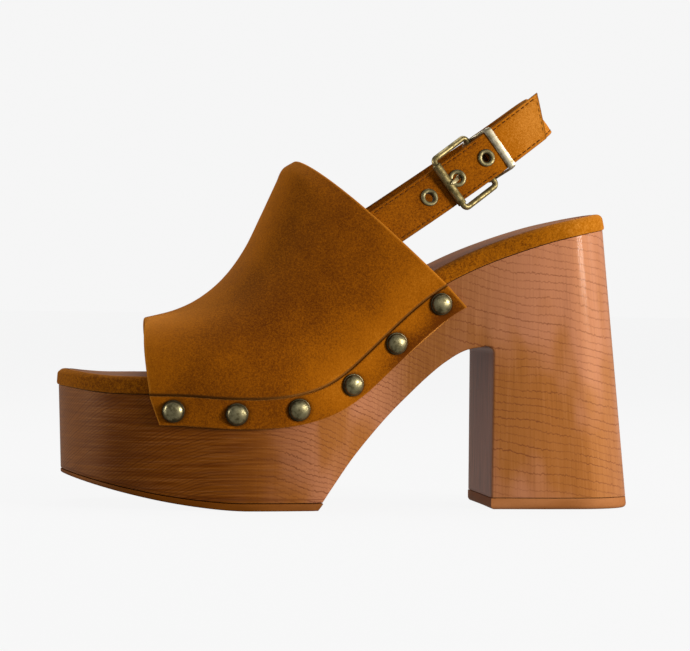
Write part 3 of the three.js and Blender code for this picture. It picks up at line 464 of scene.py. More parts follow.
def use(tree, inner, out=0, **sockets):
    """Places a node group in a material."""
    made = tree.nodes.new("ShaderNodeGroup")
    made.node_tree = inner
    for key, value in sockets.items():
        name = key.replace("_", " ")
        if isinstance(value, bpy.types.NodeSocket):
            tree.links.new(value, made.inputs[name])
        else:
            made.inputs[name].default_value = value
    return made.outputs[out]


def grain_lines():
    """Lines that follow the grain: the height over the grain's line, shaken by two noises, is cut
    into equal steps, and a line lies where a step's middle is near. A slow noise breaks it up."""
    tree, given, result = group(
        "jagged grain lines",
        {"Run": "Vector", "Spacing": "Float", "Width": "Float", "Jag": "Float"},
        {"Line": "Float"},
    )
    run, spacing = given["Run"], given["Spacing"]
    height = add(tree, "SeparateXYZ", out=2, Vector=run)
    jag = stretched(tree, run, (1.3, 0.3, 0.15), Detail=1.5, Roughness=0.6)
    sway = stretched(tree, run, (0.035, 0.0, 0.03), Detail=1.0)
    jagged = maths(tree, "MULTIPLY_ADD", maths(tree, "SUBTRACT", jag, 0.5), given["Jag"], height)
    swayed = maths(tree, "MULTIPLY_ADD", sway, 7.0, jagged)
    phase = maths(tree, "DIVIDE", swayed, spacing)
    offset = maths(tree, "ABSOLUTE", maths(tree, "SUBTRACT", maths(tree, "FRACT", phase), 0.5))
    apart = maths(tree, "DIVIDE", maths(tree, "MULTIPLY", offset, spacing), given["Width"])
    line = stage_of(tree, apart, 0.25, 1.0, 1.0, 0.0)
    number = maths(tree, "FLOOR", phase)
    own = add(tree, "TexWhiteNoise", {"noise_dimensions": "1D"}, W=number)
    gaps = stretched(tree, run, (0.07, 0.0, 0.45), Detail=2.0)
    broken = stage_of(tree, gaps, 0.34, 0.56, 0.45, 1.0)
    strength = maths(tree, "MULTIPLY", broken, stage_of(tree, own, 0.0, 1.0, 0.6, 1.0))
    tree.links.new(maths(tree, "MULTIPLY", line, strength), result["Line"])
    return tree


JAGGED = grain_lines()


def new_material(name):
    """An empty material and its tree."""
    material = bpy.data.materials.new(name)
    material.use_nodes = True
    tree = material.node_tree
    tree.nodes.clear()
    return material, tree


def shade(tree, **sockets):
    """The material's own shader, with its colour, roughness, normal and plain values."""
    surface = add(tree, "BsdfPrincipled", **sockets)
    add(tree, "OutputMaterial", Surface=surface)


def bump(tree, height, distance, strength=1.0):
    return add(tree, "Bump", Height=height, Distance=distance * MM, Strength=strength)


def stained_wood():
    """Dark brown with level streaks on the platform, partly its stain and partly painted shade, with a
    painted highlight at the toe, and tan with pink patches and upright fibres on the heel, with
    painted shade over the waist and a pale painted highlight round the back. Dark grain lines lie over
    both, and a groove over the outsole. The heel's breast is plain and greyer, with soft streaks."""
    material, tree = new_material("stained wood look")
    run, (way, _, _) = painted(tree, "grain")
    _, (breast, above, _) = painted(tree, "breast")
    heel = stage_of(tree, way, *turns_tan)
    patches = stretched(tree, run, (0.045, 0.016, 0.0), Detail=2.0)
    tan = blend(tree, stage_of(tree, patches, 0.44, 0.6), srgb(158, 96, 44), srgb(178, 116, 82))
    # Painted shade over the waist
    darkens = stage_of(tree, way, *waist_shade_begins)
    waist = maths(tree, "MINIMUM", darkens, stage_of(tree, way, *waist_shade_ends, 1.0, 0.0))
    tan = blend(tree, maths(tree, "MULTIPLY", waist, 0.8), tan, srgb(122, 74, 34))
    # A pale painted highlight round the heel's back
    tan = blend(tree, stage_of(tree, way, *back_painted_highlight, 0.0, 0.6), tan, srgb(170, 124, 98))
    bands = stretched(tree, run, (0.03, 0.7, 0.0), Detail=5.0, Distortion=0.4)
    # The platform's brown: partly its stain, partly painted shade
    brown = blend(tree, stage_of(tree, bands, 0.35, 0.65), srgb(98, 46, 0), srgb(120, 64, 8))
    # A painted highlight at the toe
    brown = blend(tree, stage_of(tree, way, *toe_painted_highlight, 0.45, 0.0), brown, srgb(150, 100, 58))
    base = blend(tree, heel, brown, tan)
    base = blend(tree, breast, base, srgb(204, 152, 126))
    upright = stretched(tree, run, (1.4, 0.03, 0.0), Detail=3.0, Roughness=0.7)
    level = stretched(tree, run, (0.04, 1.6, 0.0), Detail=3.0, Roughness=0.7)
    fibre = add(tree, "Mix", {"data_type": "FLOAT"}, in_0=heel, in_2=level, in_3=upright)
    base = blend(tree, stage_of(tree, fibre, 0.45, 0.75, 0.0, 0.14), base, srgb(206, 144, 92))
    base = blend(tree, stage_of(tree, fibre, 0.5, 0.28, 0.0, 0.18), base, srgb(84, 38, 4))
    streaks = maths(tree, "MULTIPLY", breast, stage_of(tree, fibre, 0.6, 0.35, 0.0, 0.6))
    base = blend(tree, streaks, base, srgb(112, 74, 60))
    coarse = use(tree, JAGGED, Run=run, Spacing=3.3, Width=0.36, Jag=2.1)
    close = use(tree, JAGGED, Run=run, Spacing=2.1, Width=0.34, Jag=2.0)
    fine = use(tree, JAGGED, Run=run, Spacing=1.3, Width=0.36, Jag=0.7)
    from_groove = maths(tree, "ABSOLUTE", maths(tree, "SUBTRACT", above, groove_height))
    groove = stage_of(tree, from_groove, *groove_half, 0.6, 0.0)
    close_begins = stage_of(tree, way, *close_lines_begin, 0.0, 0.7)
    close_ends = stage_of(tree, way, *close_lines_end, 0.7, 0.0)
    reaches = (
        (coarse, stage_of(tree, way, *coarse_lines_begin, 0.0, 0.62)),
        (close, maths(tree, "MINIMUM", close_begins, close_ends)),
        (fine, stage_of(tree, way, *fine_lines_end, 0.6, 0.0)),
        (groove, 0.8),
    )
    lines = 0.0
    for line, reach in reaches:
        lines = maths(tree, "MAXIMUM", lines, maths(tree, "MULTIPLY", line, reach))
    lines = maths(tree, "MULTIPLY", lines, maths(tree, "SUBTRACT", 1.0, breast))
    colour = blend(tree, lines, base, blend(tree, heel, srgb(64, 24, 2), srgb(96, 44, 26)))
    rough = stage_of(tree, fibre, 0.3, 0.7, 0.36, 0.44)
    depth = maths(tree, "SUBTRACT", maths(tree, "MULTIPLY", fibre, 0.2), lines)
    shade(
        tree, Base_Color=colour, Roughness=rough, Normal=bump(tree, depth, 0.06, 0.6),
        Coat_Weight=0.1, Coat_Roughness=0.1, Specular_IOR_Level=0.18, Specular_Tint=srgb(255, 190, 120),
    )
    return material


WOOD = stained_wood()
wood_unit = platform_unit()
unit_points = vertices(wood_unit)
facing = np.empty(len(unit_points) * 3)
wood_unit.data.vertices.foreach_get("normal", facing)
unit_x, unit_y, unit_z = unit_points.T
ahead = smooth(0.6, 0.85, -facing.reshape(-1, 3)[:, 0]) * (unit_x > arch_end - 1)
unit_run = grain_run(unit_points)
unit_run[:, 0] = mix(unit_run[:, 0], outline_length + unit_y, ahead)
paint(wood_unit, "grain", unit_run)

# How much a point belongs to the heel's breast, and its height over the outsole. Behind the
# platform that height is set so high that no groove shows.
no_groove = 99
over_outsole = np.where(unit_x < forepart_end + 4, unit_z - outsole_top(unit_x), no_groove)
paint(wood_unit, "breast", xyz(ahead, over_outsole, 0))
wood_unit.data.materials.append(WOOD)
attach(wood_unit, "root")
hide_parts("platform_unit")

# Outsole and heel top piece
# Thin rubber, stained to match the unit. The outsole runs from the toe to the back of the
# platform, thinner at the toe, and the top piece is glued under the heel.
outsole_rear_slant = 1.8
sole_round = 0.7
top_piece_round = 1.7


def quarter_round(radius, degrees):
    """Inset and drop of a rounded edge: the radius less its cosine's and its sine's share."""
    turns = np.radians(degrees)
    return list(zip(radius * (1 - np.cos(turns)), radius * (1 - np.sin(turns))))


def forepart_outsole():
    """Rings across the outsole. Its upper edge has a small quarter round and its lower one a
    larger, and the last ring slants."""
    x = np.concatenate([
        toe_columns(80),
        np.linspace(ball_x, forepart_end, 30)[1:],
    ])
    slant = outsole_rear_slant * smooth(forepart_end - 5, forepart_end, x)
    top, low = outsole_top(x), floor_line(x)
    sides = {}
    for side in (OUTER, INNER):
        square = outwards(x, side)
        wall = wood_side(x, wood_underside(x), side)
        upper_round = quarter_round(seam_round, [90, 60, 30, 0])
        lower_round = quarter_round(sole_round, [0, 22.5, 45, 67.5, 90])
        rows = [(inset, top - drop, 0 * slant) for inset, drop in upper_round]
        rows += [(inset, low + rise, slant) for inset, rise in lower_round]
        sides[side] = [
            (wall - inset * square) * (1, 1, 0) + xyz(-lean, 0, z) for inset, z, lean in rows
        ]
    ring = [
        *sides[OUTER], *across(sides[OUTER][-1], sides[INNER][-1], 10), *sides[INNER][::-1],
        *across(sides[INNER][0], sides[OUTER][0], 10), sides[OUTER][0],
    ]
    return shell("outsole", np.stack(ring, 1))


def heel_tip():
    """The heel block's own section, from its rounded upper edge to its rounded lower one, closed
    by flat ends."""
    x = np.concatenate([
        np.linspace(breast_x, heel_turn, 26),
        back_columns(heel_turn, 46),
    ])
    upper_round = quarter_round(seam_round, [90, 45, 0])
    rows = [(inset, heel_tip_thickness - drop) for inset, drop in upper_round]
    rows += quarter_round(top_piece_round, [0, 22.5, 45, 67.5, 90])
    middle = np.array([(breast_x + back_x) / 2 + 5, 0, 0])
    loops = []
    for inset, z in rows:
        outer, inner = block_side(x, z, OUTER), block_side(x, z, INNER)
        front = np.stack([mix(inner[0], outer[0], t) for t in np.linspace(0, 1, 14)])
        loop = np.concatenate([outer, inner[::-1], front])
        reach = np.linalg.norm((loop - middle) * (1, 1, 0), axis=1, keepdims=True)
        loops.append(loop - (loop - middle) * (1, 1, 0) * inset / reach)
    return shell("top_piece", np.stack(loops))


def stained_rubber():
    """Cloudy brown rubber with dark grit, lighter towards the heel."""
    material, tree = new_material("stained rubber")
    place = add(tree, "TexCoord", out=3)
    cloud = stretched(tree, place, (40.0, 40.0, 160.0), Detail=4.0)
    grit = stretched(tree, place, (1600.0, 1600.0, 1600.0), Detail=2.0)
    ahead = add(tree, "SeparateXYZ", out=0, Vector=place)
    dark = blend(tree, stage_of(tree, ahead, -0.06, 0.06), srgb(98, 50, 4), srgb(148, 90, 46))
    light = blend(tree, stage_of(tree, ahead, -0.06, 0.06), srgb(118, 64, 12), srgb(166, 106, 62))
    colour = blend(tree, stage_of(tree, cloud, 0.3, 0.7), dark, light)
    colour = blend(tree, stage_of(tree, grit, 0.55, 0.75, 0.0, 0.25), colour, srgb(90, 46, 20))
    shade(
        tree, Base_Color=colour, Roughness=stage_of(tree, cloud, 0.3, 0.7, 0.5, 0.62),
        Normal=bump(tree, grit, 0.04, 0.4), Specular_IOR_Level=0.2, Specular_Tint=srgb(255, 190, 120),
    )
    return material


RUBBER = stained_rubber()
outsole = forepart_outsole()
top_piece = heel_tip()
for piece, node in ((outsole, "forepart_outsole"), (top_piece, "heel_tip")):
    piece.data.materials.append(RUBBER)
    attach(piece, "root")
    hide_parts(node)

# Footbed
# A padded board whose rounded rim is wrapped in the same suede as the upper, glued on the wood.
footbed_thickness = 7.2
rim_radius = 2.6
rim_undercut = 0.5
rim_undercut_height = 1.4
cup_depth = 1.2
cup_flatness = 0.7
sock_thickness = 1
sock_recess = 1.1
sock_margin = 4
sock_draft = 0.4
undercut_fullness = 1.4
recess_round_drop = 0.3
recess_round_width = 0.5
seat_turn = toe_x + 0.85 * footbed_length


def bedding_rings(layers, top_cup, bottom_cup):
    """Rings across the footbed. A layer is a height over the wood and an inset from the outline.
    Across the foot the last layer and the first dip by their cups, as a power of a half wave."""
    x = np.concatenate([
        toe_columns(110),
        np.linspace(ball_x, seat_turn, 110)[1:],
        back_columns(seat_turn, 60),
    ])

    def lifted(px, py, height):
        return xyz(px, py, wood_top(px)) + wood_top_normal(px) * np.asarray(height)[..., None]

    def place(side, inset):
        y, nx, ny = edge(x, side)
        return x - nx * inset, y - ny * inset

    def dip(layer, cup):
        height, inset = layer
        a, b = place(OUTER, inset), place(INNER, inset)
        rows = []
        for t in np.linspace(0, 1, 26)[1:-1]:
            drop = cup * np.sin(np.pi * t) ** cup_flatness
            rows.append(lifted(mix(a[0], b[0], t), mix(a[1], b[1], t), height - drop + 0 * x))
        return rows

    walls = {
        side: [lifted(*place(side, inset), height + 0 * x) for height, inset in layers]
        for side in (OUTER, INNER)
    }
    ring = [
        *walls[OUTER], *dip(layers[-1], top_cup), *walls[INNER][::-1],
        *dip(layers[0], bottom_cup)[::-1], walls[OUTER][0],
    ]
    return np.stack(ring, 1)


def footbed():
    """From below: the rim's undercut, its upright side, its quarter round, and the step down into
    the sock's recess."""
    rim_top = footbed_thickness - rim_radius
    under = np.radians(np.linspace(-70, 0, 5))
    over = np.radians(np.linspace(0, 90, 12))
    lows = rim_undercut_height * (1 + np.sin(under)) - clearance * np.sin(under)
    layers = [
        *zip(lows, rim_undercut * (1 - np.cos(under)) * undercut_fullness),
        *((h, 0) for h in np.linspace(rim_undercut_height, rim_top, 4)[1:-1]),
        *((rim_top + rim_radius * np.sin(a), rim_radius * (1 - np.cos(a))) for a in over),
        (footbed_thickness - recess_round_drop, sock_margin - clearance - recess_round_width),
        (footbed_thickness - sock_recess, sock_margin - clearance),
    ]
    return shell("suede_footbed", bedding_rings(layers, cup_depth, 0), sharp=60)


def nap_and_painted_light():
    """Brushed suede hair: a fine fleck, a finer one inside it and slow patches where the hair lies
    another way. The height is both flecks, without the patches."""
    tree, given, result = group(
        "brushed nap", {"Place": "Vector", "Fleck": "Float"},
        {"Fleck": "Float", "Patch": "Float", "Height": "Float"},
    )
    place = given["Place"]
    scale = maths(tree, "DIVIDE", 1000.0, given["Fleck"])
    fleck = add(tree, "TexNoise", Vector=place, Scale=scale, Detail=3.0, Roughness=0.7)
    fine = add(tree, "TexNoise", Vector=place, Scale=maths(tree, "MULTIPLY", scale, 2.7), Detail=1.0)
    patch = add(tree, "TexNoise", Vector=place, Scale=55.0, Detail=4.0, Roughness=0.55)
    both = maths(tree, "MULTIPLY_ADD", fine, 0.4, maths(tree, "MULTIPLY", fleck, 0.6))
    tree.links.new(stage_of(tree, both, 0.3, 0.7), result["Fleck"])
    tree.links.new(stage_of(tree, patch, 0.3, 0.7), result["Patch"])
    tree.links.new(both, result["Height"])
    return tree


NAP = nap_and_painted_light()


def paint_light_and_shade(piece, *spots):
    """Painted light and shade, as spots on a piece. A spot is its middle's x and z, its reach along
    them and how much lighter it looks, and fades as a bell curve."""
    x, _, z = vertices(piece).T
    tone = 0 * x
    for middle_x, middle_z, reach_x, reach_z, lighter in spots:
        away = ((x - middle_x) / reach_x) ** 2 + ((z - middle_z) / reach_z) ** 2
        tone = tone + lighter * np.exp(-away)
    paint(piece, "nap_and_painted_light", xyz(tone, 0, 0))


def suede(name, fleck, dark, light, pale, contrast):
    """Suede between a dark and a light brown, flecked by its brushed hair, with painted light and
    shade laid on in spots, paler still where that painted light is strongest. Cut edges are paler,
    and painted shade lies in the grooves under a fold, in rings round a stud and along a strap's
    edges."""
    material, tree = new_material(name)
    place = add(tree, "TexCoord", out=3)
    made = use(tree, NAP, Place=place, Fleck=fleck).node.outputs
    # Painted light and shade from the spots
    _, (laid, _, _) = painted(tree, "nap_and_painted_light")
    tone = maths(tree, "MULTIPLY_ADD", made["Patch"], 0.2, 0.4 - contrast / 2)
    tone = maths(tree, "MULTIPLY_ADD", made["Fleck"], contrast, tone)
    tone = maths(tree, "MULTIPLY_ADD", laid, 0.45, tone)
    colour = blend(tree, stage_of(tree, tone, 0.0, 1.0), dark, light)
    colour = blend(tree, stage_of(tree, tone, 0.8, 1.7, 0.0, 0.8), colour, pale)
    # Marks: pale cut edges, then painted shade in grooves, round studs and along straps' edges
    _, (cut_edge, groove, ring) = painted(tree, "marks")
    colour = blend(tree, maths(tree, "MULTIPLY", cut_edge, 0.4), colour, pale)
    shadow = maths(tree, "MAXIMUM", groove, ring)
    colour = blend(tree, maths(tree, "MULTIPLY", shadow, 0.85), colour, srgb(46, 20, 0))
    shade(
        tree, Base_Color=colour, Roughness=1.0, Normal=bump(tree, made["Height"], 0.2, 0.8),
        Sheen_Weight=0.6, Sheen_Roughness=0.5, Sheen_Tint=srgb(228, 150, 66), Specular_IOR_Level=0.05,
    )
    return material


RIM_SUEDE = suede("rim suede", 1.1, srgb(88, 40, 0), srgb(160, 92, 4), srgb(206, 136, 50), 0.75)
rim = footbed()
rim.data.materials.append(RIM_SUEDE)
# Painted light on the rim, strongest at the heel's end, and painted shade at the toe
paint_light_and_shade(rim, (-110, 50, 30, 20, -0.25), (45, 100, 22, 30, 0.1), (105, 120, 34, 20, 1.2))
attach(rim, "root")
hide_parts("footbed")

# Sock
# A smooth lining laid into the footbed's recess, which shows as a thin line over the rim.


def sock():
    """A thin sheet whose upright edge draws in a little at its top, dished like the footbed."""
    base = footbed_thickness - sock_recess + clearance
    layers = [
        (base, sock_margin), (base + sock_thickness - 0.3, sock_margin + 0.1),
        (base + sock_thickness - 0.1, sock_margin + 0.2), (base + sock_thickness, sock_margin + sock_draft),
    ]
    return shell("smooth_sock", bedding_rings(layers, cup_depth, cup_depth), sharp=60)


def smooth_lining():
    """Cloudy tan lining with fine pores."""
    material, tree = new_material("smooth lining")
    place = add(tree, "TexCoord", out=3)
    pores = add(tree, "TexVoronoi", Vector=place, Scale=900.0)
    cloud = stretched(tree, place, (30.0, 30.0, 30.0), Detail=3.0)
    colour = blend(tree, stage_of(tree, cloud, 0.3, 0.7), srgb(160, 104, 66), srgb(184, 124, 84))
    shade(
        tree, Base_Color=colour, Roughness=stage_of(tree, cloud, 0.3, 0.7, 0.42, 0.54),
        Normal=bump(tree, pores, 0.05, 0.3), Specular_IOR_Level=0.15, Specular_Tint=srgb(255, 200, 150),
    )
    return material


LINING = smooth_lining()
insock = sock()
insock.data.materials.append(LINING)
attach(insock, "root")
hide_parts("sock_lining")

# Upper
# One piece of suede from the toe opening to the throat, folded over the footbed's rim. Below the
# fold its band is nailed to the side of the wood.
upper_wall = 2
opening_skew = 7
opening_skew_power = 0.75
stud_band_depth = 12.2
front_band_setback = 4.2
rear_band_reach = 3
rim_clearance = 0.8
vamp_height = 143.6
ridge_offset = 4.5
vamp_swell = 1.8
vamp_bow = 2.6
stud_dimple = 0.45
stud_dimple_reach = 1.1
stud_shade_ring_width = 0.55
groove_shade_from = 0.34

# Sections from the toe opening (row 0) to the throat (row 1): row, crease, top's x and z, fullness,
# and shares of the ridge's offset, the swell and the bow
sections = np.array([
    (0, 0.1557, 0.1587, 0.538, 0.6, 0.67, 0.78, -1),
    (0.15, 0.2361, 0.2165, 0.563, 0.62, 0.89, 0.89, -0.46),
    (0.3, 0.3235, 0.2623, 0.601, 0.7, 1, 1, 0),
    (0.45, 0.4067, 0.3039, 0.66, 0.8, 1, 1, 0),
    (0.6, 0.481, 0.3388, 0.74, 0.9, 0.89, 0.89, 0.15),
    (0.75, 0.5509, 0.3682, 0.839, 1, 0.78, 0.78, 0.31),
    (0.88, 0.6165, 0.3957, 0.937, 1.06, 0.67, 0.67, 0.46),
    (0.95, 0.6551, 0.4077, 0.977, 1.08, 0.67, 0.61, 0.58),
    (1, 0.6884, 0.4297, 1, 1.1, 0.67, 0.56, 0.65),
])
first_spread = (sections[1, 1] - sections[0, 1]) * footbed_length
skew_rows = opening_skew * sections[1, 0] / first_spread


def section(row):
    """The plane of a section: its foot on the crease, its way up to the ridge, its height and its
    own shares."""
    crease, top_x, top_z, full, aside, swell, bow = (
        through(sections[:, 0], sections[:, k], row) for k in range(1, 8)
    )
    x = toe_x + crease * footbed_length
    foot = xyz(x, 0, wood_top(x))
    rise = xyz(toe_x + top_x * footbed_length, 0, top_z * vamp_height) - foot
    height = np.linalg.norm(rise, axis=-1)
    return x, foot, unit(rise), height, full, aside, swell, bow


def vamp_point(row, turn, side, depth):
    """A quarter of a rounded section: turn 0 is at the crease and 90 on the ridge. The cosine's
    power sets how full it is, and two half waves add the swell and the bow."""
    row, turn, depth = np.broadcast_arrays(row, turn, depth)
    x, foot, up, height, full, aside, swell, bow = section(row)
    half = np.abs(edge(x, side)[0]) + rim_clearance + upper_wall - depth
    angle = np.radians(turn)
    ridge = ridge_offset * aside
    wave = np.sin(2 * angle)
    fullness = np.maximum(np.cos(angle), 0) ** full
    y = ridge + (side * half - ridge) * fullness + side * vamp_swell * swell * wave
    back = xyz(up[..., 2], 0, -up[..., 0])
    risen = foot + up * ((height - depth) * np.sin(angle))[..., None]
    point = risen + back * (vamp_bow * bow * wave)[..., None]
    point[..., 1] = y
    return point


def band_point(row, share, side, out):
    """The side of the wood, a share of the band's depth below the crease, moved out. Its front end
    runs back over the first quarter of the rows, and its rear end over the last fifth."""
    x = section(row)[0]
    front = front_band_setback * np.maximum(0, 1 - 4 * row) ** 2
    top = x + share * (front + rear_band_reach * np.maximum(0, 5 * row - 4) ** 2)
    down = wood_top_normal(top) * (-share * stud_band_depth)[..., None]
    return wood_side(top + down[..., 0], wood_top(top) + down[..., 2], side, out)


def skewed(row, turn, side):
    """On its inner side the opening lies further back, by a power of the turn's cosine, and this
    fades with the cube of the rows left."""
    if side == OUTER:
        return row
    skew = skew_rows * np.maximum(0, np.cos(np.radians(turn))) ** opening_skew_power
    return row + skew * (1 - row) ** 3


studs_per_side = 6
stud_radius = 4.5
stud_height = 3
stud_rim_height = 0.5
stud_depth = 6.4
last_stud_depth = 5.3
first_stud = 7.6
last_stud = 7.5


def stud_places(side):
    """Studs evenly along the middle of the band, between a distance from each of its ends, with
    the direction square to the band."""
    rows = np.linspace(skewed(np.array(0.0), 0, side), 1, 900)
    step = 0.01
    found = []
    for number in range(studs_per_side):
        share = mix(stud_depth, last_stud_depth, number / (studs_per_side - 1)) / stud_band_depth
        line = band_point(rows, share + 0 * rows, side, 0)
        way = np.concatenate([[0], np.cumsum(np.linalg.norm(np.diff(line, axis=0), axis=1))])
        reach = way[-1] - first_stud - last_stud
        row = np.interp(first_stud + reach * number / (studs_per_side - 1), way, rows)

        def near(more_row, more_share):
            at_share = np.float64(share + more_share)
            return band_point(row + more_row, at_share, side, clearance + upper_wall)

        along = near(step, 0) - near(-step, 0)
        down = near(0, step) - near(0, -step)
        facing = unit(np.cross(along, down))
        found.append((near(0, 0), facing * np.sign(facing[1] * side)))
    return found


STUDS = {side: stud_places(side) for side in (OUTER, INNER)}


def dimple(points, side):
    """How deep the suede is pressed in by the studs' rims."""
    depth = 0
    for at, _ in STUDS[side]:
        gap = np.linalg.norm(points - at, axis=-1) - stud_radius
        depth = depth + stud_dimple * np.exp(-((np.maximum(gap, 0) / stud_dimple_reach) ** 2))
    return depth


def upper():
    """A wall along the rows, outside and back inside, with small rounds at both free edges, and
    across them from the band's lower edge over the ridge to the other side's. The band's round,
    the fold's groove and its lip are rows of a place across and a depth into the suede. Gives
    points and marks: cut edges, painted shade in the groove, and painted shade in rings round the
    studs."""
    rows = np.linspace(0, 1, 150)[1:-1]
    edge_profile = [
        (0.55, 0.0), (0.2, 0.1), (0.03, 0.3), (0.0, 0.5), (0.0, 1.5), (0.15, 1.85), (0.5, 2.0),
    ]
    low_edge = [(0.0, 0.45), (0.06, 0.22), (0.2, 0.08), (0.45, 0.0)]
    groove = [(1.5, 0.0), (1.1, 0.03), (0.85, 0.1), (0.66, 0.28), (0.52, 0.6), (0.42, 1.0)]
    lip = [(0.3, 1.5), (0.33, 1.1), (0.4, 0.7), (0.52, 0.38), (0.72, 0.16), (1.0, 0.05), (1.5, 0.0)]
    vamp_turns = np.concatenate([np.linspace(4, 84, 84), np.linspace(85, 90, 8)])
    columns = [
        *(("band", stud_band_depth - up, depth) for up, depth in low_edge),
        *(("band", below, 0.0) for below in np.linspace(stud_band_depth - 1, 2, 22)),
        *(("band", below, depth) for below, depth in groove),
        *(("lip", up, depth) for up, depth in lip),
        *(("vamp", turn, 0.0) for turn in vamp_turns),
    ]
    shares = np.array([depth for _, depth in edge_profile]) / upper_wall
    depths = np.concatenate([0 * rows, shares, 0 * rows + 1, shares[::-1], [0]])
    cut = np.concatenate([0 * rows, 0 * shares + 1, 0 * rows, 0 * shares + 1, [0]])
    halves, notes = {}, {}
    for side in (OUTER, INNER):
        outside, marks = [], []
        for kind, at, depth in columns:

            def place(row, into):
                turn = at if kind == "vamp" else 0
                row = skewed(row, turn, side)
                if kind == "band":
                    out = clearance + upper_wall - into
                    return band_point(row, at / stud_band_depth + 0 * row, side, out)
                if kind == "lip":
                    turn = np.degrees(np.arcsin(at / section(row)[3]))
                return vamp_point(row, turn, side, into)

            ends = place(np.array([0, 0.01, 0.99, 1.0]), np.zeros(4))
            front = 0.01 / np.linalg.norm(ends[1] - ends[0])
            rear = 0.01 / np.linalg.norm(ends[3] - ends[2])
            loop_rows = np.concatenate([
                rows, [1 - pull * rear for pull, _ in edge_profile],
                rows[::-1], [pull * front for pull, _ in edge_profile[::-1]], rows[:1],
            ])
            outside.append(place(loop_rows, mix(depth, upper_wall, depths)))
            in_groove = kind != "vamp" and at < 1 and depth > groove_shade_from
            # Marks: cut edges, and painted shade in the groove under the fold
            marks.append(xyz(cut, in_groove * (depths < 0.6), 0))
        grid = np.stack(outside)
        shown = grid[:, : len(rows)]
        # Painted shade in rings round the studs
        ring = 0
        for middle, _ in STUDS[side]:
            gap = np.linalg.norm(shown - middle, axis=-1) - stud_radius
            ring = ring + np.exp(-((gap / stud_shade_ring_width) ** 2))
        marks = np.stack(marks)
        marks[:, : len(rows), 2] = np.minimum(ring, 1)
        shown += np.array([0, -side, 0]) * dimple(shown, side)[..., None]
        grid[:, -1] = grid[:, 0]
        halves[side], notes[side] = grid, marks
    return [np.concatenate([part[OUTER], part[INNER][::-1][1:]]) for part in (halves, notes)]


UPPER_SUEDE = suede("upper suede", 0.8, srgb(86, 38, 0), srgb(152, 84, 2), srgb(196, 124, 34), 0.6)
upper_grid, upper_marks = upper()
vamp = shell("suede_upper", upper_grid, merge=0.004, sharp=60, marks=upper_marks)
vamp.data.materials.append(UPPER_SUEDE)
# Painted light and shade on the upper: darker in the vamp's middle and top, lighter at the front and by the
# fold at the back, darker on the band below it
paint_light_and_shade(
    vamp,
    (-88, 66, 14, 26, 0.8), (-66, 92, 14, 16, 0.5), (-32, 84, 26, 30, -0.42),
    (-4, 118, 20, 24, -0.3), (-30, 134, 14, 12, 0.4), (-60, 50, 30, 6, -0.15),
    (-10, 53, 13, 12, 1.2), (8, 68, 12, 10, 1.0), (22, 86, 11, 13, 0.9), (34, 98, 9, 10, 0.8),
    (-4, 44, 12, 5, 0.5), (20, 118, 8, 12, 0.7), (-38, 112, 7, 16, 0.5),
    (24, 62, 9, 9, -1.6), (38, 76, 9, 9, -1.5),
)
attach(vamp, "root")
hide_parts("upper")

# Studs
# Domed nail heads in aged brass, driven through the band into the wood.


def revolve(profile, count=48):
    """A closed profile of radius and height turned about Z."""
    turn = np.linspace(0, 2 * np.pi, count + 1)
    radius, height = np.asarray(profile, float).T
    return xyz(radius * np.cos(turn)[:, None], radius * np.sin(turn)[:, None], height)


def turned(points, middle, x_axis, y_axis, z_axis):
    """Points of a piece's own frame, brought to their place."""
    return middle + points @ np.stack([x_axis, y_axis, z_axis])


def stud(at, facing):
    """A flat rim and a dome that is a quarter of an ellipse over it. Gives points and marks: grime
    and painted shade along the rim."""
    angle = np.linspace(0, np.pi / 2, 18)
    dome = np.stack([
        (stud_radius - 0.35) * np.cos(angle),
        stud_rim_height + (stud_height - stud_rim_height) * np.sin(angle),
    ], -1)
    profile = np.concatenate([
        [(0, clearance), (stud_radius - 0.25, clearance), (stud_radius, clearance + 0.12),
         (stud_radius, stud_rim_height - 0.1), (stud_radius - 0.12, stud_rim_height)],
        dome,
    ])
    side = unit(np.cross([0, 0, 1.0], facing))
    grid = revolve(profile)
    # Grime and painted shade on the rim and the dome's foot
    dirt_and_painted_shade = smooth(stud_radius - 1.1, stud_radius - 0.1, np.hypot(grid[..., 0], grid[..., 1]))
    return turned(grid, at, side, np.cross(facing, side), facing), xyz(dirt_and_painted_shade, 0, 0)


def patina():
    """Aged plating: slow stains, and a height of the stains and small pits."""
    tree, given, result = group(
        "patina", {"Place": "Vector", "Stain": "Float"}, {"Stain": "Float", "Height": "Float"}
    )
    place, scale = given["Place"], given["Stain"]
    slow = add(tree, "TexNoise", Vector=place, Scale=scale, Detail=5.0, Roughness=0.65)
    pits = add(tree, "TexNoise", Vector=place, Scale=2600.0, Detail=3.0, Roughness=0.7)
    height = maths(tree, "MULTIPLY_ADD", slow, 0.6, maths(tree, "MULTIPLY", pits, 0.4))
    tree.links.new(stage_of(tree, slow, 0.38, 0.66), result["Stain"])
    tree.links.new(height, result["Height"])
    return tree


PATINA = patina()


def aged_brass(name, dark, light, rough, dip=0.05):
    """Brass between a stained and a worn colour, rougher where it is stained, with grime and painted
    shade where the marks say so. The dip is the pits' depth."""
    material, tree = new_material(name)
    place = add(tree, "TexCoord", out=3)
    made = use(tree, PATINA, Place=place, Stain=420.0).node.outputs
    _, (dirt_and_painted_shade, _, _) = painted(tree, "marks")
    colour = blend(tree, made["Stain"], light, dark)
    # Grime and painted shade where the marks say so
    colour = blend(tree, maths(tree, "MULTIPLY", dirt_and_painted_shade, 0.85), colour, srgb(44, 38, 22))
    shade(
        tree, Base_Color=colour, Metallic=0.85, Normal=bump(tree, made["Height"], dip, 0.5),
        Roughness=stage_of(tree, made["Stain"], 0.0, 1.0, rough, rough + 0.16),
    )
    return material


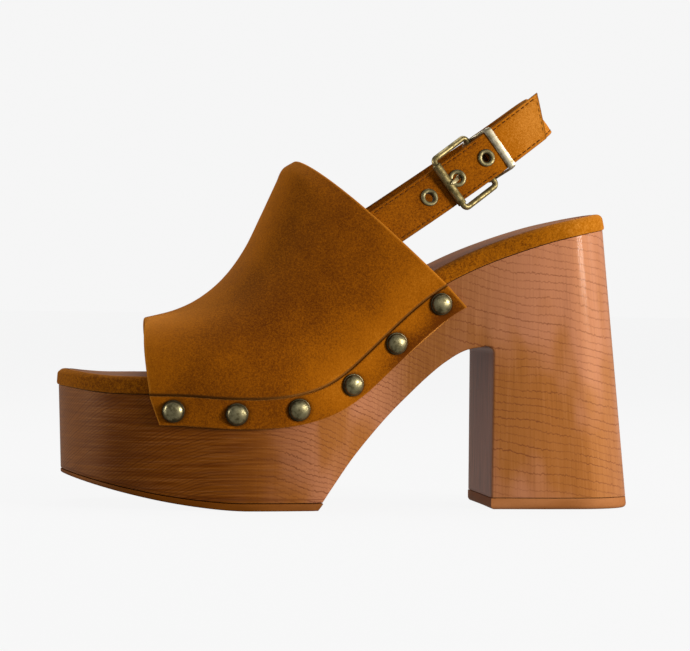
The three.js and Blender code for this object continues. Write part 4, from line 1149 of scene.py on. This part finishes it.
STUD_BRASS = aged_brass("stud brass", srgb(86, 78, 50), srgb(156, 146, 108), 0.34)
for side, word in ((OUTER, "outer"), (INNER, "inner")):
    for number, (at, facing) in enumerate(STUDS[side], 1):
        head_grid, dirt_and_painted_shade = stud(at, facing)
        head = shell(f"stud_head_{word}_{number}", head_grid, sharp=50, marks=dirt_and_painted_shade)
        head.data.materials.append(STUD_BRASS)
        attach(head, "root")
        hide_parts(f"stud_{word}_{number}")

# Sling strap
# Suede on both faces, stitched along both edges. It is folded round the buckle's far bar, runs
# round the back of the ankle and is sewn inside the vamp on the inner side.
strap_width = 17.8
strap_thickness = 1.8
strap_edge_round = 0.5
strap_crown = 0.12
stitch_edge = 1.35
stitch_channel_depth = 0.16
stitch_channel_width = 0.4
# Width of the painted shade along a strap's edges
edge_shade_width = 0.35
lean_fade = 45
strap_inside_vamp = 22
sling_reach = 86.3
sling_end_radius = 9
tail_length = 87.4
tail_slant = 8.8
eyelet_radius = 3.7
eyelet_hole = 1.9
eyelet_spacing = 15.3
first_eyelet = 24.8
frame_length = 20
frame_inside = 21.6
wire_radius = 1.25
frame_corner = 1.9
roller_radius = 1.8
roller_length = 19.6
roller_lead = 5.3
fold_length = 18
fold_fade = 12
throat_row = 0.985
throat_turn = 26
climb_at_throat = 34.5
climb_at_back = 38
strap_gap = 1
stack = strap_thickness + clearance
climb_margin = 10
climb_steps = 170

throat = {s: vamp_point(throat_row, throat_turn, s, upper_wall) for s in (OUTER, INNER)}


def climb_at(along):
    """The loop's climb, which steepens with the square of the way to the back."""
    share = np.maximum(along, 0) / sling_reach
    return np.radians(mix(climb_at_throat, climb_at_back, share**2))


climb_step = (sling_reach + strap_inside_vamp + 2 * climb_margin) / climb_steps
climb_along = -strap_inside_vamp - climb_margin + np.arange(climb_steps + 1) * climb_step
climb_turns = climb_at(climb_along)[:-1]
climb_x = np.concatenate([[0], np.cumsum(np.cos(climb_turns) * climb_step)])
climb_z = np.concatenate([[0], np.cumsum(np.sin(climb_turns) * climb_step)])


def sling_plane(along):
    """Place in the slanting plane that the loop runs in."""
    x = np.interp(along, climb_along, climb_x) - np.interp(0, climb_along, climb_x)
    z = np.interp(along, climb_along, climb_z) - np.interp(0, climb_along, climb_z)
    return xyz(throat[OUTER][0] + x, 0, throat[OUTER][2] + z)


def vamp_inside(at, side):
    """The vamp's inner face beside a point of that plane, found by halving, and its lean."""
    low, high = np.zeros(at.shape[:-1]), np.ones(at.shape[:-1])
    for _ in range(40):
        middle = (low + high) / 2
        _, foot, up, *_ = section(middle)
        d = at - foot
        behind = d[..., 0] * up[..., 2] - d[..., 2] * up[..., 0] > 0
        low, high = np.where(behind, middle, low), np.where(behind, high, middle)
    _, foot, up, height, *_ = section(low)
    reach = ((at - foot) * up).sum(-1) / (height - upper_wall)
    turn = np.degrees(np.arcsin(np.clip(reach, 0, 1)))
    here = vamp_point(low, turn, side, upper_wall)
    above = vamp_point(low, turn + 2, side, upper_wall)
    rise = np.hypot(above[..., 0] - here[..., 0], above[..., 2] - here[..., 2])
    return here[..., 1], np.arctan2(side * (here[..., 1] - above[..., 1]), rise)


half_at_throat = {
    OUTER: abs(throat[OUTER][1]) - strap_gap - 1.5 * strap_thickness - clearance,
    INNER: abs(throat[INNER][1]) - strap_gap - strap_thickness / 2,
}
end_centre = sling_reach - sling_end_radius
closing = {}
run_length = {}
for side in (OUTER, INNER):
    reach = np.hypot(end_centre, half_at_throat[side])
    closing[side] = np.arctan2(half_at_throat[side], end_centre) - np.arcsin(sling_end_radius / reach)
    run_length[side] = np.sqrt(reach**2 - sling_end_radius**2)
end_turn = np.pi - closing[OUTER] - closing[INNER]
sling_length = run_length[OUTER] + sling_end_radius * end_turn + run_length[INNER]


def swing(v, axis, angle):
    """v turned about a unit axis."""
    c, s = np.cos(angle)[..., None], np.sin(angle)[..., None]
    along = (v * axis).sum(-1, keepdims=True)
    return v * c + np.cross(axis, v) * s + axis * along * (1 - c)


def sling_frame(distance, out=0.0):
    """Middle, heading, ruling and facing of the loop: two straight runs that close in on each
    other, joined by a round end. Near the throat it leans with the vamp's inner face."""
    distance, out = np.broadcast_arrays(np.asarray(distance, float), np.asarray(out, float))
    first = run_length[OUTER]
    turned_by = np.clip((distance - first) / sling_end_radius, 0, end_turn)
    heading = closing[OUTER] + turned_by
    left = sling_length - distance
    before, after = distance <= first, distance >= first + sling_end_radius * end_turn
    along = np.where(
        before, distance * np.cos(closing[OUTER]),
        np.where(after, left * np.cos(closing[INNER]), end_centre + sling_end_radius * np.sin(heading)),
    )
    last_run = half_at_throat[INNER] - left * np.sin(closing[INNER])
    y = np.where(
        before, -half_at_throat[OUTER] + distance * np.sin(closing[OUTER]),
        np.where(after, last_run, -sling_end_radius * np.cos(heading)),
    )
    lean = np.zeros(distance.shape)
    fade = np.clip(1 - along / lean_fade, 0, 1)
    for side in (OUTER, INNER):
        own = (heading < np.pi / 2) == (side == OUTER)
        wall_y, wall_lean = vamp_inside(sling_plane(np.minimum(along, 0)), side)
        inset = half_at_throat[side] - abs(throat[side][1])
        lean = np.where(own, wall_lean * fade, lean)
        y = np.where(own & (along < 0), wall_y + side * inset, y)
    climb = climb_at(along)
    ahead = xyz(np.cos(climb), 0, np.sin(climb))
    run = ahead * np.cos(heading)[..., None]
    run[..., 1] = np.sin(heading)
    ruling = xyz(-np.sin(climb), 0, np.cos(climb))
    facing = unit(np.cross(run, ruling))
    ruling, facing = swing(ruling, run, -lean), swing(facing, run, -lean)
    middle = sling_plane(along)
    middle[..., 1] = y
    return middle + facing * out[..., None], run, ruling, facing


second_eyelet = first_eyelet + eyelet_spacing
roller_at = second_eyelet - roller_lead
far_bar_at = roller_at + frame_length
before_far_bar = far_bar_at - 0.15 * frame_length
tail_path = np.array([
    (-strap_inside_vamp, 0), (0, 0), (first_eyelet, -0.17), (roller_at - 0.15 * frame_length, -0.5),
    (roller_at + 0.1 * frame_length, -0.55), (second_eyelet, -0.33), (before_far_bar, 0.22),
    (far_bar_at + 0.2 * frame_length, 0.33), (far_bar_at + 0.6 * frame_length, 0.08),
    (tail_length - 0.4 * frame_length, 0), (tail_length + tail_slant, 0),
])


def tail_out(along):
    """How far the tail lies outside the sling: one layer, and a share of a strap's thickness."""
    return stack + strap_thickness * through(tail_path[:, 0], tail_path[:, 1], along)


fold_radius = wire_radius + clearance + strap_thickness / 2
far_bar_out = tail_out(before_far_bar) - stack - fold_radius


def strap_section():
    """A closed section of the strap: rounded edges, a slight crown between the two stitch rows
    and a shallow channel under each row. Gives across and level."""
    half, thick = strap_width / 2, strap_thickness / 2
    flat = np.linspace(-half + strap_edge_round, half - strap_edge_round, 44)
    from_edge = half - np.abs(flat)
    dip = stitch_channel_depth * np.exp(-(((from_edge - stitch_edge) / stitch_channel_width) ** 2))
    level = thick - 0.08 + strap_crown * smooth(stitch_edge, stitch_edge + 3, from_edge) - dip
    turn = np.radians([75, 50, 25, 0, -25, -50, -75])
    round_y = half - strap_edge_round + strap_edge_round * np.cos(turn)
    round_z = (thick - 0.1) * np.sin(turn)
    top = np.stack([flat, level], -1)
    right = np.stack([round_y, round_z], -1)
    low = np.stack([flat[::-1], -level], -1)
    left = np.stack([-round_y[::-1], round_z[::-1]], -1)
    return np.concatenate([top, right, low, left, top[:1]])


STRAP = strap_section()


def sling_path():
    """The strap's centre line: the folded end back to the far bar, half a turn round it, then
    forwards round the loop. Gives distance and how far out."""
    start = far_bar_at

    def closed(along):
        return smooth(start, start + fold_fade, along)

    folded = np.linspace(start + fold_length, start, 40)
    angle = np.linspace(-np.pi / 2, np.pi / 2, 22)[1:-1]
    main = np.linspace(start, sling_length + strap_inside_vamp, 330)
    along = np.concatenate([folded, start - fold_radius * np.cos(angle), main])
    out = np.concatenate([
        mix(far_bar_out - fold_radius, -stack, closed(folded)),
        far_bar_out + fold_radius * np.sin(angle),
        mix(far_bar_out + fold_radius, 0, closed(main)),
    ])
    return along, out


def ended(rings, shrink=1 / 30, bulge=0.12):
    """Rings of a strap with its two ends drawn in a little, as a cut and painted edge is."""

    def drawn(ring, next_ring):
        middle = ring.mean(0)
        inwards = next_ring.mean(0) - middle
        first = middle + (ring - middle) * (1 - shrink)
        return first - inwards / np.linalg.norm(inwards) * bulge

    return np.concatenate([[drawn(rings[0], rings[1])], rings, [drawn(rings[-1], rings[-2])]])


def strap_rings(along, out, frame_at):
    """The strap's section carried along a path and kept square to it."""
    centre, _, ruling, _ = frame_at(along, out)
    ahead = unit(np.gradient(centre, axis=0))
    facing = unit(np.cross(ahead, ruling))
    width, level = STRAP.T
    return centre[:, None] + ruling[:, None] * width[:, None] + facing[:, None] * level[:, None]


sling_along, sling_out = sling_path()
sling_rings = strap_rings(sling_along, sling_out, sling_frame)


def paint_edge_shade(piece, frame_at, end=None):
    """Painted shade along a strap's edges: dark where a point, measured from the nearest place on
    the strap's middle line, lies near the strap's sides or its slanted end."""
    points = vertices(piece)
    last = sling_length + strap_inside_vamp if end is None else end + 6
    along = np.linspace(-strap_inside_vamp, last, 160)
    middle, run, ruling, _ = frame_at(along, 0 * along)
    nearest = np.argmin(sum((points[:, k, None] - middle[:, k]) ** 2 for k in range(3)), 1)
    gap = points - middle[nearest]
    width = (gap * ruling[nearest]).sum(-1)
    side = strap_width / 2
    dark = smooth(side - edge_shade_width, side - 0.05, np.abs(width))
    if end is not None:
        reach = along[nearest] + (gap * run[nearest]).sum(-1)
        dark = np.maximum(dark, smooth(-0.7, -0.2, reach - end - width * tail_slant / strap_width))
    # The painted shade goes in the marks' second number
    paint(piece, "marks", xyz(0, 0.9 * dark, 0))


def box_cutter(corners):
    """A box between two corners in a piece's own frame."""
    low, high = np.array(corners, float)
    share = np.stack(np.meshgrid([0, 1], [0, 1], [0, 1], indexing="ij"), -1)
    return mix(low, high, share).reshape(-1, 3)


def cut(piece, cutters):
    """The piece less each cutter, as a plain mesh."""
    for cutter in cutters:
        modifier = piece.modifiers.new("cut", "BOOLEAN")
        modifier.operation = "DIFFERENCE"
        modifier.solver = "EXACT"
        modifier.object = cutter
    bpy.context.view_layer.update()
    graph = bpy.context.evaluated_depsgraph_get()
    result = bpy.data.meshes.new_from_object(piece.evaluated_get(graph))
    piece.modifiers.clear()
    piece.data = result
    for cutter in cutters:
        bpy.data.objects.remove(cutter)


def drum(name, radius, half, frame_of):
    """A short closed cylinder on the strap, for cutting."""
    grid = revolve([(0, -half), (radius, -half), (radius, half), (0, half)], 40)
    return shell(name, turned(grid, *frame_of))


STRAP_SUEDE = suede("strap suede", 0.8, srgb(92, 42, 0), srgb(160, 90, 4), srgb(208, 136, 54), 0.65)
# Painted light and shade on both straps, with the strongest light at the loop's back end
strap_painted_light = ((20, 120, 18, 30, -0.2), (48, 140, 12, 20, -0.1), (78, 162, 17, 26, 1.8))
prong_slot_length = 14
prong_width = 2
prong_thickness = 1
prong_ring_wall = 0.8

sling = shell("suede_sling", ended(sling_rings), merge=0.002, sharp=60)
slot_at = sling_frame(far_bar_at, far_bar_out)
slot_half = prong_width / 2 + 2 * clearance
slot_box = box_cutter([
    (fold_radius - prong_slot_length, -slot_half, -2 * fold_radius),
    (fold_radius, slot_half, 2 * fold_radius),
])
slot_points = turned(slot_box, *slot_at).reshape(2, 2, 2, 3)
slot_cutter = shell(
    "slot_cutter", slot_points[0], slot_points[1], slot_points[:, 0], slot_points[:, 1],
    slot_points[:, :, 0], slot_points[:, :, 1],
)
cut(sling, [slot_cutter])
sling.data.materials.append(STRAP_SUEDE)
paint_light_and_shade(sling, *strap_painted_light)
paint_edge_shade(sling, sling_frame)
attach(sling, "root")
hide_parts("sling_strap")

# Tail strap
# The buckle's strap on the outer side, sewn inside the vamp, with three eyelets and a slanted end.


def tail_frame(distance, out):
    """The sling's frame, which runs on straight where the loop turns."""
    straight = run_length[OUTER]
    middle, run, ruling, facing = sling_frame(np.minimum(distance, straight), out)
    beyond = np.maximum(0, distance - straight)[..., None]
    return middle + run * beyond, run, ruling, facing


def tail_rings():
    """Each line of the section runs to its own end, so that the strap's end slants. Two more rings
    past it get thinner, which rounds it."""
    width, level = STRAP.T
    end = tail_length + width * tail_slant / strap_width
    share = np.concatenate([np.linspace(0, 1, 200), [1.0008, 1.0012]])[:, None]
    distance = -strap_inside_vamp + (end + strap_inside_vamp) * share
    drawn = np.concatenate([np.ones(200), [0.92, 0.75]])[:, None]
    start, last, step = -strap_inside_vamp, tail_length + tail_slant, 0.5
    centre, _, ruling, _ = tail_frame(distance, tail_out(np.minimum(distance, last)))
    later = tail_frame(distance + step, tail_out(np.minimum(distance + step, last)))[0]
    earlier = tail_frame(distance - step, tail_out(np.maximum(distance - step, start)))[0]
    ahead = unit(later - earlier)
    facing = unit(np.cross(ahead, ruling))
    return centre + ruling * width[:, None] + facing * (level * drawn)[..., None]


EYELETS = [first_eyelet + i * eyelet_spacing for i in range(3)]
eyelet_wall = 0.4
eyelet_flange = 0.9


def eyelet_frame(at):
    """Frame of an eyelet, square to the strap where it rises or falls."""
    middle, run, ruling, facing = tail_frame(np.array(at), tail_out(np.array(at)))
    slope = (tail_out(np.array(at + 1.0)) - tail_out(np.array(at - 1.0))) / 2
    run, facing = unit(run + facing * slope), unit(facing - run * slope)
    return middle, run, ruling, facing


tail = shell("suede_tail", tail_rings(), merge=0.002, sharp=60)
cut(tail, [
    drum(f"hole_{i}", eyelet_hole + eyelet_wall + clearance, 2 * strap_thickness, eyelet_frame(at))
    for i, at in enumerate(EYELETS)
])
tail.data.materials.append(STRAP_SUEDE)
paint_light_and_shade(tail, *strap_painted_light)
paint_edge_shade(
    tail, lambda along, _: tail_frame(along, tail_out(np.minimum(along, tail_length))), tail_length
)
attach(tail, "root")
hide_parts("tail_strap")

# Stitches
# Waxed thread, one lockstitch after another, sunk a little into the suede.
stitch_length = 2.2
stitch_gap = 0.5
stitch_radius = 0.23
buckle_keep_off = 2.2


def stitch_row(name, path, facing):
    """Copies of one drop of thread laid end to end along a path, each turned to its own stretch
    of it. A drop's radius is the root of one less the fourth power of the way along it."""
    way = np.concatenate([[0], np.cumsum(np.linalg.norm(np.diff(path, axis=0), axis=1))])
    pitch = stitch_length + stitch_gap
    starts = np.arange(0.6, way[-1] - stitch_length, pitch)

    def on(lines, past):
        return np.stack([np.interp(starts + past, way, line) for line in lines.T], -1)

    start, end = on(path, 0), on(path, stitch_length)
    out = unit(on(facing, stitch_length / 2))
    ahead = unit(end - start)
    aside = unit(np.cross(out, ahead))
    rings, corners = 7, 8
    around = np.linspace(0, 2 * np.pi, corners + 1)[:-1]
    along = np.linspace(-1, 1, rings)[:, None]
    swell = np.sqrt(np.maximum(0, 1 - along**4)) * stitch_radius
    drop = xyz(along * stitch_length / 2, swell * np.cos(around), swell * np.sin(around))
    basis = np.stack([ahead, aside, out], 1)
    points = (start + end)[:, None] / 2 + drop.reshape(-1, 3) @ basis
    at = np.arange(rings * corners).reshape(rings, corners)
    beside = np.roll(at, -1, 1)
    cells = np.stack([at[:-1], beside[:-1], beside[1:], at[1:]], -1).reshape(-1, 4)
    faces = (cells + at.size * np.arange(len(starts))[:, None, None]).reshape(-1, 4)
    return solid(name, points.reshape(-1, 3), faces, merge=0.001, sharp=180)


def waxed_thread():
    """Brown thread, mottled by its twist."""
    material, tree = new_material("waxed thread")
    place = add(tree, "TexCoord", out=3)
    twist = stretched(tree, place, (2400.0, 2400.0, 2400.0), Detail=1.0)
    colour = blend(tree, stage_of(tree, twist, 0.35, 0.65), srgb(66, 32, 2), srgb(112, 62, 12))
    shade(
        tree, Base_Color=colour, Roughness=0.9, Normal=bump(tree, twist, 0.08, 0.5),
        Specular_IOR_Level=0.1,
    )
    return material


THREAD = waxed_thread()


def line_on(frame_at, along, out, offset):
    """A line on the strap's face, at an offset across it, with the direction it faces."""
    middle, _, ruling, facing = frame_at(along, out)
    return middle + ruling * (offset + 0 * along)[:, None] + facing * face_level, facing


half_width = strap_width / 2 - stitch_edge
face_level = strap_thickness / 2 - 0.12
tail_stretches = (
    (1.0, roller_at - buckle_keep_off), (roller_at + buckle_keep_off, far_bar_at + 2.0),
)
rows = []
for offset, word in ((half_width, "upper"), (-half_width, "lower")):
    end = tail_length + offset * tail_slant / strap_width - 1.2
    for stretch, limits in enumerate((*tail_stretches, (far_bar_at + 6.8, end)), 1):
        along = np.linspace(*limits, 80)
        path, facing = line_on(tail_frame, along, tail_out(along), offset)
        rows.append(stitch_row(f"tail_stitches_{word}_{stretch}", path, facing))
    along = np.linspace(far_bar_at + 8, sling_length - 1, 300)
    main_out = mix(far_bar_out + fold_radius, 0, smooth(far_bar_at, far_bar_at + fold_fade, along))
    path, facing = line_on(sling_frame, along, main_out, offset)
    rows.append(stitch_row(f"sling_stitches_{word}", path, facing))
offsets = np.linspace(half_width - 1, -half_width + 1, 30)
along = tail_length + offsets * tail_slant / strap_width - 1.1
path, facing = line_on(tail_frame, along, tail_out(along), offsets)
rows.append(stitch_row("tail_end_stitches", path, facing))
for row in rows:
    row.data.materials.append(THREAD)
    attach(row, "root")

# Buckle
# A rounded frame of aged brass with a roller on its near bar. The prong turns on the far bar and
# comes up through the second eyelet, and the keeper holds the tail down behind it.
keeper_inside = 18.4
keeper_bar_width = 3
keeper_bar_thickness = 0.9
keeper_bevel = 0.3
keeper_corner = 1.1
keeper_setback = 4.2
keeper_lean = 7.6
keeper_crown = 0.12
rib_height = 0.035
rib_count = 32
prong_tip_from = 0.9


def rounded_loop(half_x, half_y, corner, steps):
    """A rectangle with quarter rounds, as a closed path in its plane."""
    turns = np.radians(np.linspace(0, 90, steps))
    path = []
    for quarter, (sx, sy) in enumerate(((1, 1), (-1, 1), (-1, -1), (1, -1))):
        angle = turns + quarter * np.pi / 2
        x = sx * (half_x - corner) + corner * np.cos(angle)
        path.append(xyz(x, sy * (half_y - corner) + corner * np.sin(angle), 0))
    return np.concatenate(path)


def ring_of(path, profile):
    """A section carried round a closed path in its plane. Gives side and height."""
    ahead = unit(np.roll(path, -1, 0) - np.roll(path, 1, 0))
    side = np.cross([0, 0, 1.0], ahead)
    s, a = np.asarray(profile, float).T
    grid = path[:, None] + side[:, None] * s[:, None] + xyz(0, 0, a)
    return np.concatenate([grid, grid[:1]])


def spin_y(points, angle):
    """Points turned about Y."""
    x, y, z = np.moveaxis(points, -1, 0)
    return xyz(x * np.cos(angle) + z * np.sin(angle), y, -x * np.sin(angle) + z * np.cos(angle))


roller_out = tail_out(np.array(roller_at)) + strap_thickness / 2 + 2 * clearance + roller_radius
frame_tilt = np.arctan2(roller_out - far_bar_out, frame_length)
frame_half = np.hypot(frame_length, roller_out - far_bar_out) / 2
buckle_at = sling_frame((roller_at + far_bar_at) / 2, (roller_out + far_bar_out) / 2)


def buckle_frame():
    """A round wire bent into a rectangle with small rounded corners."""
    turn = np.linspace(0, 2 * np.pi, 25)
    wire = np.stack([wire_radius * np.cos(turn), wire_radius * np.sin(turn)], -1)
    corners = rounded_loop(frame_half, frame_inside / 2 + wire_radius, frame_corner, 12)
    longest_step = 1.2
    path = []
    for a, b in zip(corners, np.roll(corners, -1, 0)):
        steps = max(1, int(np.linalg.norm(b - a) / longest_step))
        path.extend(mix(a, b, t) for t in np.linspace(0, 1, steps + 1)[:-1])
    return turned(spin_y(ring_of(np.array(path), wire), frame_tilt), *buckle_at)


def roller():
    """A tube with rounded ends and fine lines along it."""
    bore, half = wire_radius + clearance, roller_length / 2
    profile = [
        (bore, -half + 0.1), (bore + 0.1, -half),
        (roller_radius - 0.15, -half), (roller_radius, -half + 0.15),
        *((roller_radius, y) for y in np.linspace(-half + 0.6, half - 0.6, 20)),
        (roller_radius, half - 0.15), (roller_radius - 0.15, half),
        (bore + 0.1, half), (bore, half - 0.1), (bore, -half + 0.1),
    ]
    turn = np.linspace(0, 2 * np.pi, 97)
    radius, y = np.array(profile).T
    ribbed = (radius > roller_radius - 0.01) * (np.abs(y) < half - 0.3)
    reach = radius + rib_height * np.cos(turn * rib_count)[:, None] * ribbed
    points = xyz(reach * np.cos(turn)[:, None] - frame_half, y, reach * np.sin(turn)[:, None])
    return turned(spin_y(points, frame_tilt), *buckle_at)


def prong_grids():
    """A ring round the far bar and a tapering tongue along a smooth path: over the folded strap,
    up through the eyelet and onto the roller. The tongue's section is a squarish oval, and its
    tip a quarter round."""
    bore = wire_radius + clearance
    outer, half = bore + prong_ring_wall, prong_width / 2
    profile = [
        (bore, -half), (outer - 0.2, -half), (outer, -half + 0.2),
        (outer, half - 0.2), (outer - 0.2, half), (bore, half), (bore, -half),
    ]
    turn = np.linspace(0, 2 * np.pi, 41)
    radius, y = np.array(profile).T
    ring = xyz(radius * np.cos(turn)[:, None], y, radius * np.sin(turn)[:, None])
    hole = np.array([second_eyelet - far_bar_at, tail_out(np.array(second_eyelet)) - far_bar_out])
    reach = roller_radius + 2 * clearance + prong_thickness / 2
    at_roller = np.array([roller_at - far_bar_at, roller_out - far_bar_out])
    route = np.array([
        (-bore - prong_ring_wall / 2, 0),
        hole + (1.6 * prong_width, -2.2 * prong_thickness),
        hole + (0.35 * prong_width, -0.9 * prong_thickness),
        hole + (-0.35 * prong_width, 1.6 * prong_thickness),
        at_roller + reach * np.array([np.cos(np.radians(30)), np.sin(np.radians(30))]),
        at_roller + reach * np.array([0, 1]),
    ])
    key = np.linspace(0, 1, len(route))
    t = np.linspace(0, 1, 60)
    path = np.stack([through(key, route[:, k], t) for k in (0, 1)], -1)
    ahead = unit(np.gradient(path, axis=0))
    middle = xyz(path[:, 0], 0, path[:, 1])
    up = xyz(-ahead[:, 1], 0, ahead[:, 0])
    around = np.linspace(0, 2 * np.pi, 25)
    past = np.maximum(0, t - prong_tip_from) / (1 - prong_tip_from)
    tip = np.sqrt(np.clip(1 - past**2, 0.05, 1))
    wide = prong_width / 2 * mix(1, 0.72, t) * tip
    thick = prong_thickness / 2 * mix(1, 0.9, t)
    across_y = wide[:, None] * np.sign(np.cos(around)) * np.abs(np.cos(around)) ** 0.6
    raised = thick[:, None] * np.sign(np.sin(around)) * np.abs(np.sin(around)) ** 0.6
    tongue = middle[:, None] + up[:, None] * raised[..., None] + xyz(0, across_y, 0)
    at = sling_frame(far_bar_at, far_bar_out)
    return turned(ring, *at), turned(tongue, *at)


keeper_at = far_bar_at + keeper_setback


def keeper():
    """A flat bevelled strip bent into a loop, which leans along the strap."""
    high = tail_out(np.array(keeper_at)) + strap_thickness / 2 + clearance
    low = far_bar_out - fold_radius - strap_thickness / 2 - clearance
    half_across = (keeper_inside + keeper_bar_thickness) / 2
    half_high = (high - low + keeper_bar_thickness) / 2
    w, t = keeper_bar_width / 2, keeper_bar_thickness / 2
    flat = [(-t, -w + 0.1), (-t, w - 0.1), (-t + 0.1, w), (t - keeper_bevel, w), (t, w - keeper_bevel),
            (t + keeper_crown, 0.2), (t, -w + keeper_bevel), (t - keeper_bevel, -w),
            (-t + 0.1, -w), (-t, -w + 0.1)]
    flat = [(-s, a) for s, a in flat]
    grid = ring_of(rounded_loop(half_across, half_high, keeper_corner, 8), flat)
    across_y, height, along = np.moveaxis(grid, -1, 0)
    leaning = along + height * keeper_lean / (2 * half_high)
    return turned(xyz(leaning, across_y, height + (high + low) / 2), *sling_frame(keeper_at, 0.0))


FRAME_BRASS = aged_brass("buckle brass", srgb(90, 78, 42), srgb(156, 140, 94), 0.4, 0.006)
KEEPER_BRASS = aged_brass("keeper brass", srgb(134, 122, 90), srgb(200, 190, 164), 0.36, 0.005)
PRONG_BRASS = aged_brass("prong brass", srgb(150, 136, 96), srgb(202, 190, 146), 0.5, 0.0)
ring_grid, tongue_grid = prong_grids()
tongue = shell("prong_tongue", tongue_grid, merge=0.003, sharp=60)
ring_part = shell("prong_ring", ring_grid, sharp=50)
metal = (
    (shell("frame_loop", buckle_frame(), sharp=60), "buckle_frame", FRAME_BRASS),
    (shell("roller_tube", roller(), sharp=60), "buckle_roller", FRAME_BRASS),
    (tongue, "buckle_prong", PRONG_BRASS),
    (ring_part, "buckle_prong", FRAME_BRASS),
    (shell("keeper_loop", keeper(), sharp=35), "buckle_keeper", KEEPER_BRASS),
)
for piece, node, material in metal:
    piece.data.materials.append(material)
    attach(piece, "root")
    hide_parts(node)

# Eyelets
# Rolled brass rings pressed through the tail.


def eyelet(at):
    """A barrel with a rolled flange over the suede."""
    half = strap_thickness / 2
    barrel = eyelet_hole + eyelet_wall
    roll = np.radians(np.linspace(180, 0, 14))
    seat = half + clearance
    lip = 0.1
    roll_x = mix(eyelet_hole, eyelet_radius, 0.5) + (eyelet_radius - eyelet_hole) / 2 * np.cos(roll)
    roll_z = seat + lip + (eyelet_flange - clearance - lip) * np.sin(roll)
    profile = [
        (eyelet_hole + lip, -half), *zip(roll_x, roll_z), (eyelet_radius - lip, seat), (barrel, seat),
        (barrel, -half), (eyelet_hole + lip, -half),
    ]
    return turned(revolve(profile), *eyelet_frame(at))


EYELET_BRASS = aged_brass("eyelet brass", srgb(78, 70, 46), srgb(130, 120, 84), 0.42, 0.02)
for number, at in enumerate(EYELETS, 1):
    ring = shell(f"eyelet_ring_{number}", eyelet(at), sharp=50)
    ring.data.materials.append(EYELET_BRASS)
    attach(ring, "root")
    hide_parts(f"eyelet_{number}")

# View, floor and light
# The camera stands on the outer side, a little towards the toe. The key light and a narrow strip
# stand behind the heel on the right, with weaker lights in front, on the left and above.
camera_turn = 7.7
camera_pitch = 0.525
camera_roll = 0.7
camera_distance = 1200
camera_height = 86
focal_pixels = 2860
picture_width = 690
sensor_width = 36


def photograph_camera():
    """A camera at a distance and a height, turned, tilted down and rolled by small angles."""
    turn, pitch, roll = np.radians([camera_turn, camera_pitch, camera_roll])
    level = np.array([np.sin(turn), np.cos(turn), 0])
    ahead = level * np.cos(pitch) - np.array([0, 0, 1]) * np.sin(pitch)
    right = np.array([np.cos(turn), -np.sin(turn), 0])
    up = level * np.sin(pitch) + np.array([0, 0, 1]) * np.cos(pitch)
    rolled_up = up * np.cos(roll) - right * np.sin(roll)
    rolled_right = right * np.cos(roll) + up * np.sin(roll)
    place = (np.array([0, 0, camera_height]) - camera_distance * level) * MM
    camera = bpy.data.objects.new("camera", bpy.data.cameras.new("camera"))
    bpy.context.scene.collection.objects.link(camera)
    camera.matrix_world = Matrix([
        [rolled_right[k], rolled_up[k], -ahead[k], place[k]] for k in range(3)
    ] + [[0, 0, 0, 1]])
    camera.data.sensor_width = sensor_width
    camera.data.lens = focal_pixels * sensor_width / picture_width
    camera.data.clip_start = 0.05
    camera.data.clip_end = 40
    return camera


bpy.context.scene.camera = photograph_camera()


warm = (1.0, 0.97, 0.92)
shoe_middle = (0.0, 0.0, 0.07)


def softbox(name, place, aim, size, power, colour=(1, 1, 1)):
    """A square light at a place, turned to a point."""
    lamp = bpy.data.lights.new(name, "AREA")
    lamp.size, lamp.energy, lamp.color = size, power, colour
    holder = bpy.data.objects.new(name, lamp)
    holder.location = place
    holder.rotation_euler = (Vector(aim) - Vector(place)).to_track_quat("-Z", "Y").to_euler()
    bpy.context.scene.collection.objects.link(holder)


softbox("key", (1.25, -0.9, 0.35), shoe_middle, 0.45, 27.0, warm)
softbox("strip", (1.5, -0.25, 0.3), (0.05, 0.0, 0.07), 0.12, 5.0, warm)
softbox("front", (0.1, -1.3, 0.5), shoe_middle, 0.8, 1.5)
softbox("left", (-1.2, 0.1, 0.3), shoe_middle, 0.5, 7.0)
softbox("top", (0.2, 0.5, 1.2), shoe_middle, 0.8, 6.0)


def pale_floor():
    """The camera sees it glow as bright as the sky, and the shoe gets a weak light from it."""
    material, tree = new_material("pale floor")
    seen = add(tree, "LightPath", out=0)
    glow = stage_of(tree, seen, 0.0, 1.0, 0.22, 0.9)
    shade(
        tree, Base_Color=(0.04, 0.04, 0.04, 1), Roughness=1.0, Specular_IOR_Level=0.0,
        Emission_Color=(1, 1, 1, 1), Emission_Strength=glow,
    )
    mesh = bpy.data.meshes.new("floor")
    mesh.from_pydata([(-15, -15, 0), (15, -15, 0), (15, 15, 0), (-15, 15, 0)], [], [(0, 1, 2, 3)])
    floor = bpy.data.objects.new("floor", mesh)
    bpy.context.scene.collection.objects.link(floor)
    mesh.materials.append(material)


pale_floor()


def pale_sky():
    """The camera sees the sky as the floor's white, and the object is lit by a weaker one."""
    world = bpy.data.worlds.new("studio")
    bpy.context.scene.world = world
    world.use_nodes = True
    tree = world.node_tree
    tree.nodes.clear()
    seen = add(tree, "Background", Color=(0.92, 0.92, 0.92, 1), Strength=1.0)
    felt = add(tree, "Background", Color=(0.92, 0.94, 1.0, 1), Strength=0.22)
    shown = add(tree, "MixShader", in_0=add(tree, "LightPath", out=0), in_1=felt, in_2=seen)
    add(tree, "OutputWorld", Surface=shown)


pale_sky()
bpy.context.scene.view_settings.view_transform = "Standard"
